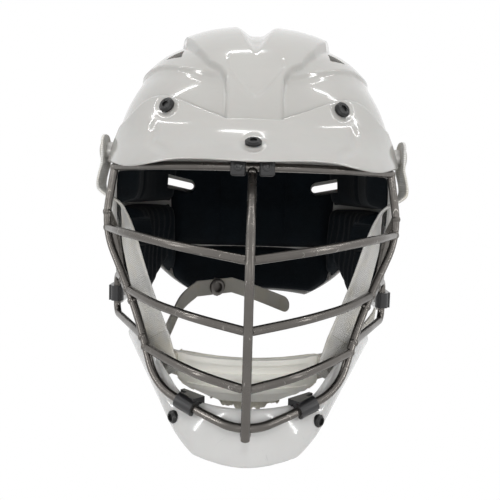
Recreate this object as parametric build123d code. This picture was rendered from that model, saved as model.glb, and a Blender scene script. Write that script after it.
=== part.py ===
from build123d import *
import math
import os

# Lacrosse helmet, drawn level as it is worn and then set down on its chin guard and nape.
# X runs across the head, the face looks along -Y, and Z is zero at the foot of the chin guard.

# Shell
shell_half_width = 111.0
shell_front_reach = 131.0
shell_back_reach = 130.0
shell_wall = 3.5
shell_widest_height = 170.0
shell_crown_height = 285.0
shell_cut_height = 40.0
dome_power_share = 2.2
front_fullness_share = 0.70
back_fullness_share = 0.62
foot_taper_share = 0.09
drop_shares = [1.0, 0.8, 0.6, 0.4, 0.2, 0.0]
rise_shares = [0.25, 0.5, 0.7, 0.84, 0.93, 0.975, 0.996]

# Edge of the shell, from the brow round the ear flap to the nape
brow_height = 181.0
temple_reach = 64.0
temple_drop = 6.0
flap_reach = 27.0
flap_shoulder_height = 112.0
flap_foot_height = 71.0
flap_back_reach = 34.0
arch_height = 96.0
arch_reach = 74.0
nape_height = 62.0
nape_reach = 121.0
nape_front_reach = 110.0
edge_round = 9.0
temple_round = 26.0
arch_round = 16.0
ear_hole_reach = 6.0
ear_hole_height = 128.0
ear_hole_length = 38.0
ear_hole_width = 24.0

# Raised crown with its valley, the column below it, and the vents
ridge_inner_offset = 18.0
ridge_outer_offset = 56.0
ridge_rise = 7.0
ridge_sink = 1.5
ridge_bevel = 4.0
ridge_reach_shares = [-0.90, -0.82, -0.78, -0.67, -0.50, -0.25, 0.0, 0.46, 0.68, 0.88]
ridge_width_shares = [0.32, 0.40, 0.53, 0.69, 0.86, 0.96, 1.0, 0.93, 0.77, 0.55]
ridge_rise_shares = [0.80, 0.88, 0.92, 1.0, 1.0, 1.0, 1.0, 1.0, 0.5, 0.02]
valley_width_shares = [0.0, 0.0, 0.02, 0.30, 0.62, 0.97, 1.0, 1.0, 1.0, 0.8]
valley_depth_shares = [0.0, 0.0, 0.02, 0.35, 0.75, 1.0, 1.0, 1.0, 1.0, 1.0]
valley_bed_share = 0.25
column_height_shares = [0.33, 0.42, 0.52]
column_rise_shares = [0.40, 0.55, 0.78]
vent_offset = 56.5
vent_reach = 77.0
vent_height = 255.0
vent_width = 15.0
vent_rise = 9.0
back_vent_offset = 75.0
back_vent_height = 171.0
back_vent_length = 31.0
back_vent_width = 6.5
back_vent_tilt = 12.0

# Visor
visor_wall = 3.0
visor_seat_gap = 0.3
visor_lip_flare = 31.0
visor_crest_rise = 46.0
visor_rear_reach = 84.0
visor_fullness_share = 0.64
visor_lip_wave = 3.0
visor_lip_shares = [(0.0, 0.0), (0.40, 0.33), (0.74, -0.87), (0.89, 0.4), (1.1, 0.5)]
visor_rise_shares = [1.0, 0.72, 0.52, 0.28, 0.10, -0.12]
visor_flare_shares = [0.0, 0.01, 0.08, 0.40, 0.80, 1.22]
visor_crest_shares = [(0.16, 0.54), (0.48, 0.92), (0.66, 0.90), (0.80, 0.62), (1.1, 0.30)]
visor_screw_offset = 57.0
visor_screw_share = 0.80
centre_screw_share = 0.25

# Screws and nuts
screw_head_radius = 5.2
screw_head_height = 2.2
screw_shank_radius = 2.0
screw_gap = 0.15
side_screw_depth = 10.5
centre_screw_depth = 9.0
small_head_radius = 4.0
small_screw_depth = 11.0
nut_radius = 5.0
socket_width = 2.4
socket_depth = 1.2

# Wire mask
wire_diameter = 5.4
mask_half_width = 101.0
mask_corner_reach = 95.0
mask_reach = 185.0
mask_foot_height = 26.0
mask_head_drop = 3.0
wire_bend_share = 0.45
loop_bend_share = 0.27
weld_sink = 0.4
rim_shares = [(0.945, -0.03, 1.0), (1.01, -0.01, 0.724), (0.745, 0.22, 0.38),
              (0.575, 0.50, 0.09), (0.30, 0.68, 0.022), (0.08, 0.86, -0.005)]
top_bar_shares = (0.50, 0.57, 1.0)
bar_end_up_shares = [0.725, 0.46, 0.23]
bar_outer_bend_shares = [(0.80, 0.42, 0.720), (0.60, 0.53, 0.437), (0.47, 0.65, 0.216)]
bar_inner_bend_shares = [(0.42, 0.80, 0.688), (0.31, 0.86, 0.419), (0.25, 0.88, 0.196)]
bar_centre_up_shares = [0.648, 0.381, 0.160]
bar_kink_share = 0.12
centre_bar_up_shares = [0.72, 0.22, -0.04]
side_wire_start_up_share = 0.80
side_wire_shares = [(0.975, -0.30, 0.685), (0.94, -0.345, 0.455)]
side_wire_end_up_share = 0.41
side_loop_inset = 6.5
side_loop_reach = 38.0
side_loop_head_height = 97.0
side_loop_foot_height = 66.0
side_loop_end_up_share = 0.27

# Chin guard
guard_half_width = 91.0
guard_foot_reach = 166.0
guard_height = 101.0
guard_wall = 3.2
guard_belly = 3.5
guard_foot_shares = [(0.0, 1.03, -0.025), (0.28, 0.985, 0.01), (0.475, 0.885, 0.10),
                     (0.625, 0.74, 0.225), (0.775, 0.554, 0.33), (0.925, 0.361, 0.45)]
guard_head_shares = [(0.0, 1.0, 0.32), (0.252, 0.943, 0.31), (0.47, 0.858, 0.33),
                     (0.62, 0.796, 0.47), (0.835, 0.60, 0.61), (0.97, 0.405, 0.60)]

# Clips of the mask
sleeve_radius = 5.0
sleeve_gap = 0.25
clip_wall = 3.0
chin_clip_offset = 37.0
chin_clip_length = 13.0
top_sleeve_offset = 8.5
top_sleeve_length = 6.5
top_block_half_width = 12.0
top_block_height = 13.0
side_clip_reach = 22.0
side_clip_height = 12.0
side_clip_wall = 2.6

# Liner
liner_gap = 0.8
liner_thickness = 17.0
nape_pad_thickness = 12.0
ear_pad_thickness = 17.0
crown_pad_thickness = 24.0
pad_edge_share = 0.72
pad_segments = 5
pad_level_shares = [0.0, 0.16, 0.5, 0.84, 1.0]
pad_seam = 1.5
pad_edge_gap = 2.0
brow_pad_half_turn_share = 0.57
side_pad_turn_shares = (0.60, 1.47)
rear_pad_turn_shares = (1.485, 2.515)
ear_pad_turn_shares = (0.97, 1.46)
crown_pad_drop_shares = [1.0, 0.82, 0.4, 0.12]
crown_pad_size_shares = [0.86, 1.0, 1.0, 1.0]
liner_crest_height = 246.0
side_pad_foot_height = 152.0
rear_pad_foot_height = 109.0
nape_pad_foot_height = 64.0
ear_pad_foot_height = 73.0

# Snap fasteners
snap_reach = 72.0
snap_height = 190.0
low_snap_reach = 42.0
low_snap_height = 96.0
snap_base_radius = 6.5
snap_base_height = 5.2
snap_post_radius = 2.8
snap_post_height = 1.8
snap_head_radius = 3.6
snap_head_height = 1.6
snap_shank_depth = 7.5
snap_barrel_radius = 6.0
snap_barrel_height = 2.4
snap_cap_radius = 8.0
snap_cap_height = 2.0
snap_gap = 0.4

# Chin cup
cup_radius = 75.0
cup_reach = 128.0
cup_foot_height = 23.0
cup_head_height = 54.0
cup_wall = 3.0
cup_half_turn = 51.0
cup_rib_half_turn = 32.0
cup_rib_rise = 1.5
cup_rib_width = 3.4
cup_rib_pitch = 9.5
cup_ribs = 3
cup_curl = 9.0
cup_outline_shares = [(1.0, 0.70), (0.72, 0.33), (0.32, 0.0)]
cup_pad_thickness = 10.0
cup_pad_gap = 0.3
cup_pad_half_turn = 40.5
cup_rivet_turn = 45.5
cup_rivet_share = 0.74

# Chin straps
high_strap_width = 25.0
low_strap_width = 15.0
strap_thickness = 1.8
strap_gap = 0.3
strap_play = 0.8
strap_end_length = 9.0
strap_steps = 3
high_strap_lead = 16.0
low_strap_lead = 15.0
rivet_radius = 4.5
rivet_height = 1.6
rivet_shank_radius = 2.0
high_strap_path = [(76.0, -92.5, 95.0), (86.5, -83.5, 127.0), (91.5, -78.5, 145.0),
                   (95.5, -76.0, 153.0), (108.8, -73.0, 163.5)]
high_strap_turn_shares = [0.1, 0.25, 0.6, 0.8, 1.0]
low_strap_left_path = [(-69.0, -80.0, 44.0), (-67.0, -58.0, 45.0), (-65.0, -15.0, 52.0),
                       (-61.0, 28.0, 63.0), (-50.0, 58.0, 71.5), (-18.0, 84.0, 72.5),
                       (4.0, 80.0, 66.5), (32.0, 62.5, 59.0)]
low_strap_right_path = [(71.0, -80.0, 44.0), (82.0, -46.0, 46.0), (97.0, -14.0, 52.0),
                        (107.5, 6.0, 60.0), (112.5, 22.0, 73.5)]
strap_tip_shares = [(0.45, 0.88), (0.85, 0.45)]
strap_tip_length = 7.0
buckle_length = 22.0
buckle_side = 2.0
buckle_plate = 1.2
buckle_bar_length = 3.6
buckle_ring_radius = 8.0
buckle_ring_height = 2.4
buckle_hole_radius = 4.0
left_buckle_share = 0.53
left_tail_points = 3

overrun = 60.0


def mirrored(point):
    return Vector(-point.X, point.Y, point.Z)


def mirror_x(solid):
    return mirror(solid, about=Plane.YZ)


def both_sides(solid):
    """The piece and its twin on the other side of the head."""
    return Compound([solid, mirror_x(solid)])


def largest(shape):
    """The main solid of a cut, without any shaving that the cut left."""
    return max(shape.solids(), key=lambda solid: solid.volume)


def place_on(point, normal):
    return Plane(origin=point, z_dir=normal)


def rod(place, radius, low, high):
    """Round bar in a frame, from low to high along its axis."""
    bar = Cylinder(radius, high - low, align=(Align.CENTER, Align.CENTER, Align.MIN))
    return place * (Pos(0, 0, low) * bar)


def turned(place, profile):
    """Round piece turned from half a profile of radius and height."""
    outline = Wire.make_polygon([Vector(radius, 0, height) for radius, height in profile])
    return place * revolve(Face(outline), Axis.Z)


def slab(place, along, across, up):
    """Block in a frame, from low to high along each of its axes."""
    sizes = [high - low for low, high in (along, across, up)]
    middles = [(high + low) / 2 for low, high in (along, across, up)]
    return place * (Pos(*middles) * Box(*sizes))


# Shape of the shell
def shell_share(height, inset=0):
    """How much of the greatest width is left at this height."""
    crown = shell_crown_height - inset
    if height >= shell_widest_height:
        rise_share = (height - shell_widest_height) / (crown - shell_widest_height)
        return (1 - min(rise_share, 1) ** dome_power_share) ** (1 / dome_power_share)
    drop_share = (shell_widest_height - height) / shell_widest_height
    return 1 - foot_taper_share * drop_share ** 2


def quarter_points(half_width, reach, fullness_share):
    """Control points of a quarter of the plan, from the side to the front or the back."""
    return [(half_width, 0), (half_width, fullness_share * reach),
            (fullness_share * half_width, reach), (0, reach)]


def plan_sizes(height, inset):
    share = shell_share(height, inset)
    return ((shell_half_width - inset) * share, (shell_front_reach - inset) * share,
            (shell_back_reach - inset) * share)


def plan_wire(height, half_width, front_reach, back_reach, front_share, back_share):
    """Closed egg-shaped outline at one height, made of four curved quarters."""
    front = quarter_points(half_width, front_reach, front_share)
    back = quarter_points(half_width, back_reach, back_share)
    corners = [[(x, -y) for x, y in front], [(-x, -y) for x, y in reversed(front)],
               [(-x, y) for x, y in back], [(x, y) for x, y in reversed(back)]]
    edges = [Bezier(*[(x, y, height) for x, y in points]) for points in corners]
    return Wire(edges)


def shell_section(height, inset=0):
    half_width, front_reach, back_reach = plan_sizes(height, inset)
    return plan_wire(height, half_width, front_reach, back_reach, front_fullness_share,
                     back_fullness_share)


def shell_core(inset):
    """Solid dome, as wide as the shell less the inset."""
    drop = shell_widest_height - shell_cut_height
    heights = [shell_widest_height - share * drop for share in drop_shares]
    rise = shell_crown_height - inset - shell_widest_height
    heights += [shell_widest_height + share * rise for share in rise_shares]
    return Solid.make_loft([shell_section(height, inset) for height in heights])


def plan_power(fullness_share):
    """Exponent of the rounded outline that a quarter of this fullness follows."""
    return -math.log(2) / math.log((4 + 3 * fullness_share) / 8)


def plan_reach(x, half_width, reach, fullness_share):
    """How far the plan reaches forward at an offset from the middle."""
    power = plan_power(fullness_share)
    return reach * (1 - min(abs(x) / half_width, 1) ** power) ** (1 / power)


def dome_height(x, y):
    """Height of the outside of the shell above a place in the plan."""
    reach = shell_front_reach if y < 0 else shell_back_reach
    power = plan_power(front_fullness_share if y < 0 else back_fullness_share)
    share = ((abs(x) / shell_half_width) ** power + (abs(y) / reach) ** power) ** (1 / power)
    rise_share = (1 - min(share, 1) ** dome_power_share) ** (1 / dome_power_share)
    return shell_widest_height + rise_share * (shell_crown_height - shell_widest_height)


def dome_normal(x, y):
    """Outward direction of the dome over a place in the plan."""
    step = shell_wall
    slope_x = (dome_height(x + step, y) - dome_height(x - step, y)) / (2 * step)
    slope_y = (dome_height(x, y + step) - dome_height(x, y - step)) / (2 * step)
    return Vector(-slope_x, -slope_y, 1).normalized()


def side_half_width(y, height):
    """Half width of the shell at a place along its side."""
    half_width, front_reach, back_reach = plan_sizes(height, 0)
    reach, share = (front_reach, front_fullness_share) if y < 0 else (
        back_reach, back_fullness_share)
    return plan_reach(y, reach, half_width, share)


def on_dome(x, y, rise):
    """Point over a place in the plan, lifted off the dome by this rise along its normal."""
    return Vector(x, y, dome_height(x, y) + rise / dome_normal(x, y).Z)


def crown_rows():
    """Place along the crown, with the raised half width, rise, valley half width and depth."""
    rows = []
    for row in zip(ridge_reach_shares, ridge_width_shares, ridge_rise_shares,
                   valley_width_shares, valley_depth_shares):
        reach_share, width_share, rise_share, valley_share, depth_share = row
        reach = shell_front_reach if reach_share < 0 else shell_back_reach
        rise = ridge_rise * rise_share
        rows.append((reach_share * reach, width_share * ridge_outer_offset, rise,
                     valley_share * ridge_inner_offset, depth_share * rise))
    return rows


def raised_crown():
    """Raised plateau along the crown, widest over the ears and fading at the back."""
    sections = []
    for y, outer, rise, _, _ in crown_rows():
        bevel = min(ridge_bevel, outer / 4)
        top = [on_dome(x, y, rise) for x in (bevel - outer, -outer / 2, 0, outer / 2,
                                             outer - bevel)]
        foot = [on_dome(x, y, 0) - Vector(0, 0, ridge_sink) for x in (outer, -outer)]
        sections.append(Wire.make_polygon(top + foot))
    return Solid.make_loft(sections)


def crown_valley():
    """Valley that parts the plateau into two lobes and runs out above the brow."""
    sections = []
    for y, _, rise, half_width, depth in crown_rows():
        if half_width:
            lift = Vector(0, 0, 2 * ridge_rise)
            brim = [on_dome(x, y, rise) for x in (-half_width, half_width)]
            bed_half = half_width * valley_bed_share
            bed = [on_dome(x, y, rise - depth) for x in (-bed_half, bed_half)]
            sections.append(Wire.make_polygon([brim[0] + lift, brim[0], bed[0], bed[1], brim[1],
                                               brim[1] + lift]))
    return Solid.make_loft(sections)


def brow_column():
    """Raised column from the plateau down the middle of the brow to the visor."""
    half = ridge_inner_offset
    bevel = ridge_bevel / 2
    sections = []
    for height_share, rise_share in zip(column_height_shares, column_rise_shares):
        height = shell_widest_height + height_share * (shell_crown_height - shell_widest_height)
        half_width, front, back = plan_sizes(height, 0)
        rise = ridge_rise * rise_share
        points = []
        for x, lift in ((-half, -ridge_sink), (bevel - half, rise), (0, rise),
                        (half - bevel, rise), (half, -ridge_sink)):
            reach = plan_reach(x, half_width, front, front_fullness_share)
            points.append(Vector(x, -reach - lift, height))
        sections.append(Wire.make_polygon(points))
    return Solid.make_loft(sections)


def edge_profile():
    """Side view of all that the shell keeps: the cut runs from the brow to the nape."""
    low = -overrun
    high = shell_crown_height + overrun
    front = -shell_front_reach - overrun
    back = shell_back_reach + overrun
    points = [(front, brow_height + temple_drop), (-shell_front_reach, brow_height),
              (-temple_reach, brow_height - temple_drop), (-flap_reach, flap_shoulder_height),
              (-flap_reach, flap_foot_height), (flap_back_reach, flap_foot_height),
              (arch_reach, arch_height), (nape_front_reach, nape_height),
              (nape_front_reach, low), (back, low), (back, high), (front, high)]
    rounds = [0, 0, temple_round, temple_round, edge_round, edge_round, arch_round,
              0, 0, 0, 0, 0]
    corners = [Vector(0, y, z) for y, z in points]
    return FilletPolyline(*corners, radius=rounds, close=True)


def side_cutter(outline, half_width):
    """Prism with this side view, across the whole helmet."""
    return extrude(Face(Wire(outline.edges())), half_width, dir=(1, 0, 0), both=True)


# Rest plane: it touches the foot of the chin guard and the nape
rest_tilt = math.degrees(math.atan2(nape_height, nape_reach + guard_foot_reach))


def below_rest():
    """Everything under the surface that the helmet stands on."""
    block = Box(2 * shell_half_width + 2 * overrun, 2 * mask_reach + 4 * overrun, 2 * overrun,
                align=(Align.CENTER, Align.CENTER, Align.MAX))
    return Pos(0, -guard_foot_reach, 0) * Rot(rest_tilt, 0, 0) * block


def ear_hole():
    slot = SlotOverall(ear_hole_length, ear_hole_width)
    return Pos(0, ear_hole_reach, ear_hole_height) * extrude(
        Plane.YZ * slot, shell_half_width + overrun, both=True)


def top_vent():
    """Three-sided vent beside the front end of one ridge."""
    outline = Polygon((-vent_width / 2, 0), (vent_width / 2, 0), (0, vent_rise), align=None)
    frame = Plane(origin=(vent_offset, -vent_reach, vent_height), x_dir=(1, 1, 0),
                  z_dir=(1, -1, 1))
    return extrude(frame * outline, ridge_rise + shell_wall, both=True)


def back_vent(margin):
    """Slot through the back of the shell, wider by the margin all round."""
    slot = SlotOverall(back_vent_length + 2 * margin, back_vent_width + 2 * margin)
    frame = Plane(origin=(back_vent_offset, 0, back_vent_height), x_dir=(1, 0, 0),
                  z_dir=(0, 1, 0))
    return extrude(frame * (Rot(0, 0, back_vent_tilt) * slot), shell_back_reach + overrun)


def make_shell(outer, inner, holes):
    body = outer - inner
    body = body & side_cutter(edge_profile(), shell_half_width + overrun)
    body = body - ear_hole() - below_rest()
    for cut in [top_vent(), back_vent(0)] + holes:
        body = body - cut - mirror_x(cut)
    return largest(body)


# Visor
def visor_sizes(height, inset):
    """Half width, reaches and fullness of the visor at this height."""
    rise_share = (height - brow_height) / visor_crest_rise
    flare_share = visor_flare_shares[0]
    pairs = list(zip(visor_rise_shares, visor_flare_shares))
    for (high, high_flare), (low, low_flare) in zip(pairs, pairs[1:]):
        if low <= rise_share <= high:
            part_share = (rise_share - low) / (high - low)
            flare_share = low_flare + part_share * (high_flare - low_flare)
    half_width, front_reach, back_reach = plan_sizes(height, 0)
    grow = visor_seat_gap + visor_wall - inset
    fullness_share = front_fullness_share + flare_share * (
        visor_fullness_share - front_fullness_share)
    return (half_width + grow, front_reach + grow + flare_share * visor_lip_flare,
            back_reach + grow, fullness_share)


def visor_core(inset):
    """Solid under the outside of the visor, or under its inside."""
    sections = []
    for rise_share in visor_rise_shares:
        height = brow_height + rise_share * visor_crest_rise
        half_width, front, back, fullness_share = visor_sizes(height, inset)
        sections.append(plan_wire(height, half_width, front, back, fullness_share,
                                  back_fullness_share))
    return Solid.make_loft(sections)


def visor_outline():
    """Front view of the visor: its crest over the brow and the waved lip below."""
    crest = [(x_share * shell_half_width, brow_height + z_share * visor_crest_rise)
             for x_share, z_share in visor_crest_shares]
    lip = [(x_share * shell_half_width, brow_height + z_share * visor_lip_wave)
           for x_share, z_share in visor_lip_shares]
    upper = Spline(*[(-x, z) for x, z in reversed(crest)], *crest)
    lower = Spline(*[(-x, z) for x, z in reversed(lip[1:])], *lip)
    right = Line(lower @ 1, upper @ 1)
    left = Line(lower @ 0, upper @ 0)
    outline = Wire([upper.edge(), right.edge(), lower.edge(), left.edge()])
    return Plane(origin=(0, -visor_rear_reach, 0), x_dir=(1, 0, 0),
                 z_dir=(0, -1, 0)) * Face(outline)


def make_visor(outer, inner, shell_outer, holes):
    band = extrude(visor_outline(), shell_front_reach + overrun, dir=(0, -1, 0))
    body = (outer - inner) & band
    body = body - shell_outer
    for hole in holes:
        body = body - hole - mirror_x(hole)
    return largest(body)


def side_screw_place():
    height = brow_height + visor_screw_share * visor_crest_rise
    half_width, front, back, fullness_share = visor_sizes(height, 0)
    y = -plan_reach(visor_screw_offset, half_width, front, fullness_share)
    under_share = plan_sizes(height, 0)[1] / front
    return place_on((visor_screw_offset, y, height),
                    dome_normal(visor_screw_offset * under_share, y * under_share))


def centre_screw_place():
    height = brow_height + centre_screw_share * visor_crest_rise
    step = visor_crest_rise / 20
    front = visor_sizes(height, 0)[1]
    rise = visor_sizes(height - step, 0)[1] - visor_sizes(height + step, 0)[1]
    return place_on((0, -front, height), Vector(0, -2 * step, rise).normalized())


# Screws and nuts
def pan_screw(place, carrier, head_radius, depth):
    """Screw with a low head cut to the face it sits on, a hexagon socket and a shank."""
    profile = [(0, -screw_head_height), (head_radius, -screw_head_height),
               (head_radius, screw_head_height / 2), (head_radius * 0.75, screw_head_height),
               (0, screw_head_height)]
    head = turned(place, profile) - carrier
    socket = extrude(place * (Pos(0, 0, screw_head_height) * RegularPolygon(socket_width, 6)),
                     -socket_depth)
    return largest(head + rod(place, screw_shank_radius, -depth, 0) - socket)


def screw_hole(place, depth):
    return rod(place, screw_shank_radius + screw_gap, -depth - screw_gap, overrun)


def nut(place, depth, inside):
    """Round nut on the inside of a wall, cut to the curve that it seats on."""
    body = rod(place, nut_radius, -depth, 0) & inside
    return largest(body - screw_hole(place, overrun))


# Wire mask
def mask_point(shares):
    across, forward, up = shares
    head_height = brow_height - mask_head_drop
    return Vector(across * mask_half_width,
                  -mask_corner_reach - forward * (mask_reach - mask_corner_reach),
                  mask_foot_height + up * (head_height - mask_foot_height))


def bend_radii(points, bend_share):
    """Bends that take up this share of the shorter run beside them."""
    radii = []
    for before, corner, after in zip(points, points[1:], points[2:]):
        run_in = corner - before
        run_out = after - corner
        turn = math.radians(run_in.get_angle(run_out))
        shorter = min(run_in.length, run_out.length)
        radii.append(bend_share * shorter / math.tan(turn / 2))
    return radii


def wire_path(points, bend_share=wire_bend_share):
    return FilletPolyline(*points, radius=bend_radii(points, bend_share))


def bent_wire(path, diameter=wire_diameter):
    frame = Plane(origin=path @ 0, z_dir=path % 0)
    return sweep(frame * Circle(diameter / 2), path=path)


def both_ways(points):
    """Points of one half, then of the other half in mirror image."""
    return points + [mirrored(point) for point in reversed(points)]


def share_along(path, passed, end):
    """Share of the path up to which a test on its points is true."""
    start = 0.0
    for _ in range(30):
        middle = (start + end) / 2
        if passed(path @ middle):
            start = middle
        else:
            end = middle
    return start


def rim_at(rim_path, up_share):
    height = mask_point((0, 0, up_share)).Z
    return rim_path @ share_along(rim_path, lambda point: point.Z > height, 0.5)


def centre_bar_path(rim_path, top_path):
    """Down from the top bar, straight before the face, and back over the foot of the rim."""
    head_up, turn_up, foot_up = centre_bar_up_shares
    drop = wire_diameter - weld_sink
    start = top_path @ 0.5 - Vector(0, wire_diameter / 2, drop)
    points = [start] + [Vector(0, -mask_reach, mask_point((0, 0, up)).Z)
                        for up in (head_up, turn_up)]
    foot = rim_path @ 0.5
    points.append(Vector(0, foot.Y - drop, mask_point((0, 0, foot_up)).Z))
    return wire_path(points)


def bar_path(rim_path, index):
    """Bar across the face, which bends to a low point behind the centre bar."""
    half = [rim_at(rim_path, bar_end_up_shares[index]),
            mask_point(bar_outer_bend_shares[index]), mask_point(bar_inner_bend_shares[index])]
    centre = Vector(0, -mask_reach + wire_diameter - weld_sink,
                    mask_point((0, 0, bar_centre_up_shares[index])).Z)
    points = half + [centre] + [mirrored(point) for point in reversed(half)]
    radii = bend_radii(points, wire_bend_share)
    radii[2] *= bar_kink_share / wire_bend_share
    return FilletPolyline(*points, radius=radii)


def side_wire_path(rim_path):
    points = [rim_at(rim_path, side_wire_start_up_share)]
    points += [mask_point(shares) for shares in side_wire_shares]
    points.append(rim_at(rim_path, side_wire_end_up_share))
    return wire_path(points)


def side_loop_path(rim_path, side_path):
    """Loop that stands out beside the ear flap and runs forward to the rim as a brace."""
    start = side_path @ share_along(side_path, lambda point: point.Z > side_loop_head_height, 1.0)
    out = shell_half_width - side_loop_inset
    points = [start] + [Vector(out, -side_loop_reach, height)
                        for height in (side_loop_head_height, side_loop_foot_height)]
    points.append(rim_at(rim_path, side_loop_end_up_share))
    return wire_path(points, loop_bend_share)


def make_mask(rim_path, top_path):
    """Wires of the mask, each cut to sit against the wires that it is welded to."""
    wires = {"mask_top_bar": bent_wire(top_path)}
    wires["mask_rim"] = largest(bent_wire(rim_path) - wires["mask_top_bar"])
    rim = wires["mask_rim"]
    centre_bar = largest(bent_wire(centre_bar_path(rim_path, top_path)) - rim
                         - wires["mask_top_bar"])
    wires["mask_centre_bar"] = centre_bar
    for index, name in enumerate(["upper", "middle", "lower"]):
        bar = bent_wire(bar_path(rim_path, index))
        wires[f"mask_{name}_bar"] = largest(bar - rim - centre_bar)
    side_path = side_wire_path(rim_path)
    side_wire = largest(bent_wire(side_path) - rim - wires["mask_upper_bar"]
                        - wires["mask_middle_bar"])
    side_loop = largest(bent_wire(side_loop_path(rim_path, side_path)) - rim - side_wire)
    wires["mask_side_wires"] = both_sides(side_wire)
    wires["mask_side_loops"] = both_sides(side_loop)
    return wires


# Chin guard
def guard_stations():
    """Foot, head and outward direction of the guard wall, from the left end to the right."""
    half = [[Vector(x * guard_half_width, -y * guard_foot_reach, z * guard_height)
             for x, y, z in pair] for pair in zip(guard_foot_shares, guard_head_shares)]
    rows = [[mirrored(point) for point in pair] for pair in reversed(half[1:])] + half
    middles = [(foot + head) * 0.5 for foot, head in rows]
    stations = []
    for index, (foot, head) in enumerate(rows):
        along = middles[min(index + 1, len(rows) - 1)] - middles[max(index - 1, 0)]
        stations.append((foot, head, Vector(along.Y, -along.X, 0).normalized()))
    return stations


def guard_band():
    """Bent band of even wall, bellied between its foot and its head."""
    sections = []
    for foot, head, outward in guard_stations():
        inward = outward * -guard_wall
        middle = (foot + head) * 0.5 + outward * guard_belly
        edges = [ThreePointArc(foot, middle, head).edge(),
                 Edge.make_line(head, head + inward),
                 ThreePointArc(head + inward, middle + inward, foot + inward).edge(),
                 Edge.make_line(foot + inward, foot)]
        sections.append(Wire(edges))
    return Solid.make_loft(sections) - below_rest()


def chin_screw_place():
    foot, head, outward = guard_stations()[len(guard_foot_shares) + 1]
    return place_on((foot + head) * 0.5 + outward * guard_belly, outward)


# Clips
def chin_clip_axis(rim_path):
    share = share_along(rim_path, lambda point: point.X > chin_clip_offset, 0.5)
    return place_on(rim_path @ share, rim_path % share)


def make_chin_clip(axis, guard):
    """Sleeve round the rim, bridged over the guard to a tongue that takes the screw."""
    screw = chin_screw_place()
    outward = screw.z_dir
    frame = Plane(origin=axis.origin, x_dir=(-outward.Y, outward.X, 0), z_dir=(0, 0, 1))
    middle = frame.to_local_coords(screw.origin)
    head = frame.to_local_coords(guard_stations()[len(guard_foot_shares) + 1][1])
    half = chin_clip_length / 2
    sleeve = rod(axis, sleeve_radius, -half, half)
    behind = max(middle.Y, head.Y) + guard_wall + sleeve_gap
    over = head.Z + sleeve_gap
    top = over + clip_wall
    bridge = slab(frame, (-half, half), (0, behind + clip_wall), (over, top))
    tongue = slab(frame, (min(-half, middle.X - small_head_radius),
                          max(half, middle.X + small_head_radius)),
                  (behind, behind + clip_wall), (middle.Z - small_head_radius, top))
    body = sleeve + bridge + tongue - rod(axis, wire_diameter / 2 + sleeve_gap, -overrun, overrun)
    return largest(body - guard - screw_hole(screw, overrun))


def make_top_clip(top_path, visor_inner, shell_outer, hole):
    """Block between brow and visor, with two sleeves round the top bar below it."""
    low = brow_height + visor_lip_wave
    block = slab(Plane.XY, (-top_block_half_width, top_block_half_width),
                 (-shell_front_reach - overrun, -shell_front_reach / 2),
                 (low, low + top_block_height))
    body = largest((block & visor_inner) - shell_outer - hole)
    seat = top_path @ 0.5
    half = top_sleeve_length / 2
    for side in (-1, 1):
        axis = Plane(origin=seat + Vector(side * top_sleeve_offset, 0, 0), z_dir=(1, 0, 0))
        frame = Plane(origin=axis.origin, x_dir=(1, 0, 0), z_dir=(0, 0, 1))
        leg = slab(frame, (-half, half), (-sleeve_radius, sleeve_radius),
                   (0, low - seat.Z + sleeve_gap))
        body = body + leg + rod(axis, sleeve_radius, -half, half)
        body = body - rod(axis, wire_diameter / 2 + sleeve_gap, -top_sleeve_length,
                          top_sleeve_length)
    return largest(body)


def side_loop_middle():
    height = (side_loop_head_height + side_loop_foot_height) / 2
    return Vector(shell_half_width - side_loop_inset, -side_loop_reach, height)


def side_clip_screw():
    middle = side_loop_middle()
    y = middle.Y + side_clip_reach
    outside = side_half_width(0, middle.Z) + sleeve_gap + side_clip_wall
    return place_on((outside, y, middle.Z), (1, 0, 0))


def make_side_clip():
    """Sleeve round the side loop, with a tongue on the outside of the ear flap."""
    middle = side_loop_middle()
    screw = side_clip_screw()
    half = side_clip_height / 2
    outside = screw.origin.X
    frame = Plane(origin=(0, middle.Y, middle.Z), x_dir=(1, 0, 0), z_dir=(0, 0, 1))
    axis = place_on(middle, (0, 0, 1))
    tongue = slab(frame, (outside - side_clip_wall, outside), (0, side_clip_reach + half),
                  (-half, half))
    sleeve = rod(axis, sleeve_radius, -half, half)
    bore = rod(axis, wire_diameter / 2 + sleeve_gap, -overrun, overrun)
    return largest(sleeve + tongue - bore - screw_hole(screw, overrun))


# Liner
def plan_point(station, height, inset):
    """Point on the plan: station 0 is the front, 1 the right side and 2 the back."""
    half_width, front, back = plan_sizes(height, inset)
    side = 1 if station >= 0 else -1
    turn = abs(station)
    if turn <= 1:
        reach, share, step = -front, front_fullness_share, 1 - turn
    elif turn <= 2:
        reach, share, step = back, back_fullness_share, turn - 1
    else:
        reach, share, step, side = back, back_fullness_share, 3 - turn, -side
    weights = [(1 - step) ** 3, 3 * (1 - step) ** 2 * step, 3 * (1 - step) * step ** 2, step ** 3]
    points = quarter_points(half_width, reach, share)
    x = sum(weight * point[0] for weight, point in zip(weights, points))
    y = sum(weight * point[1] for weight, point in zip(weights, points))
    return Vector(side * x, y, height)


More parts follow.
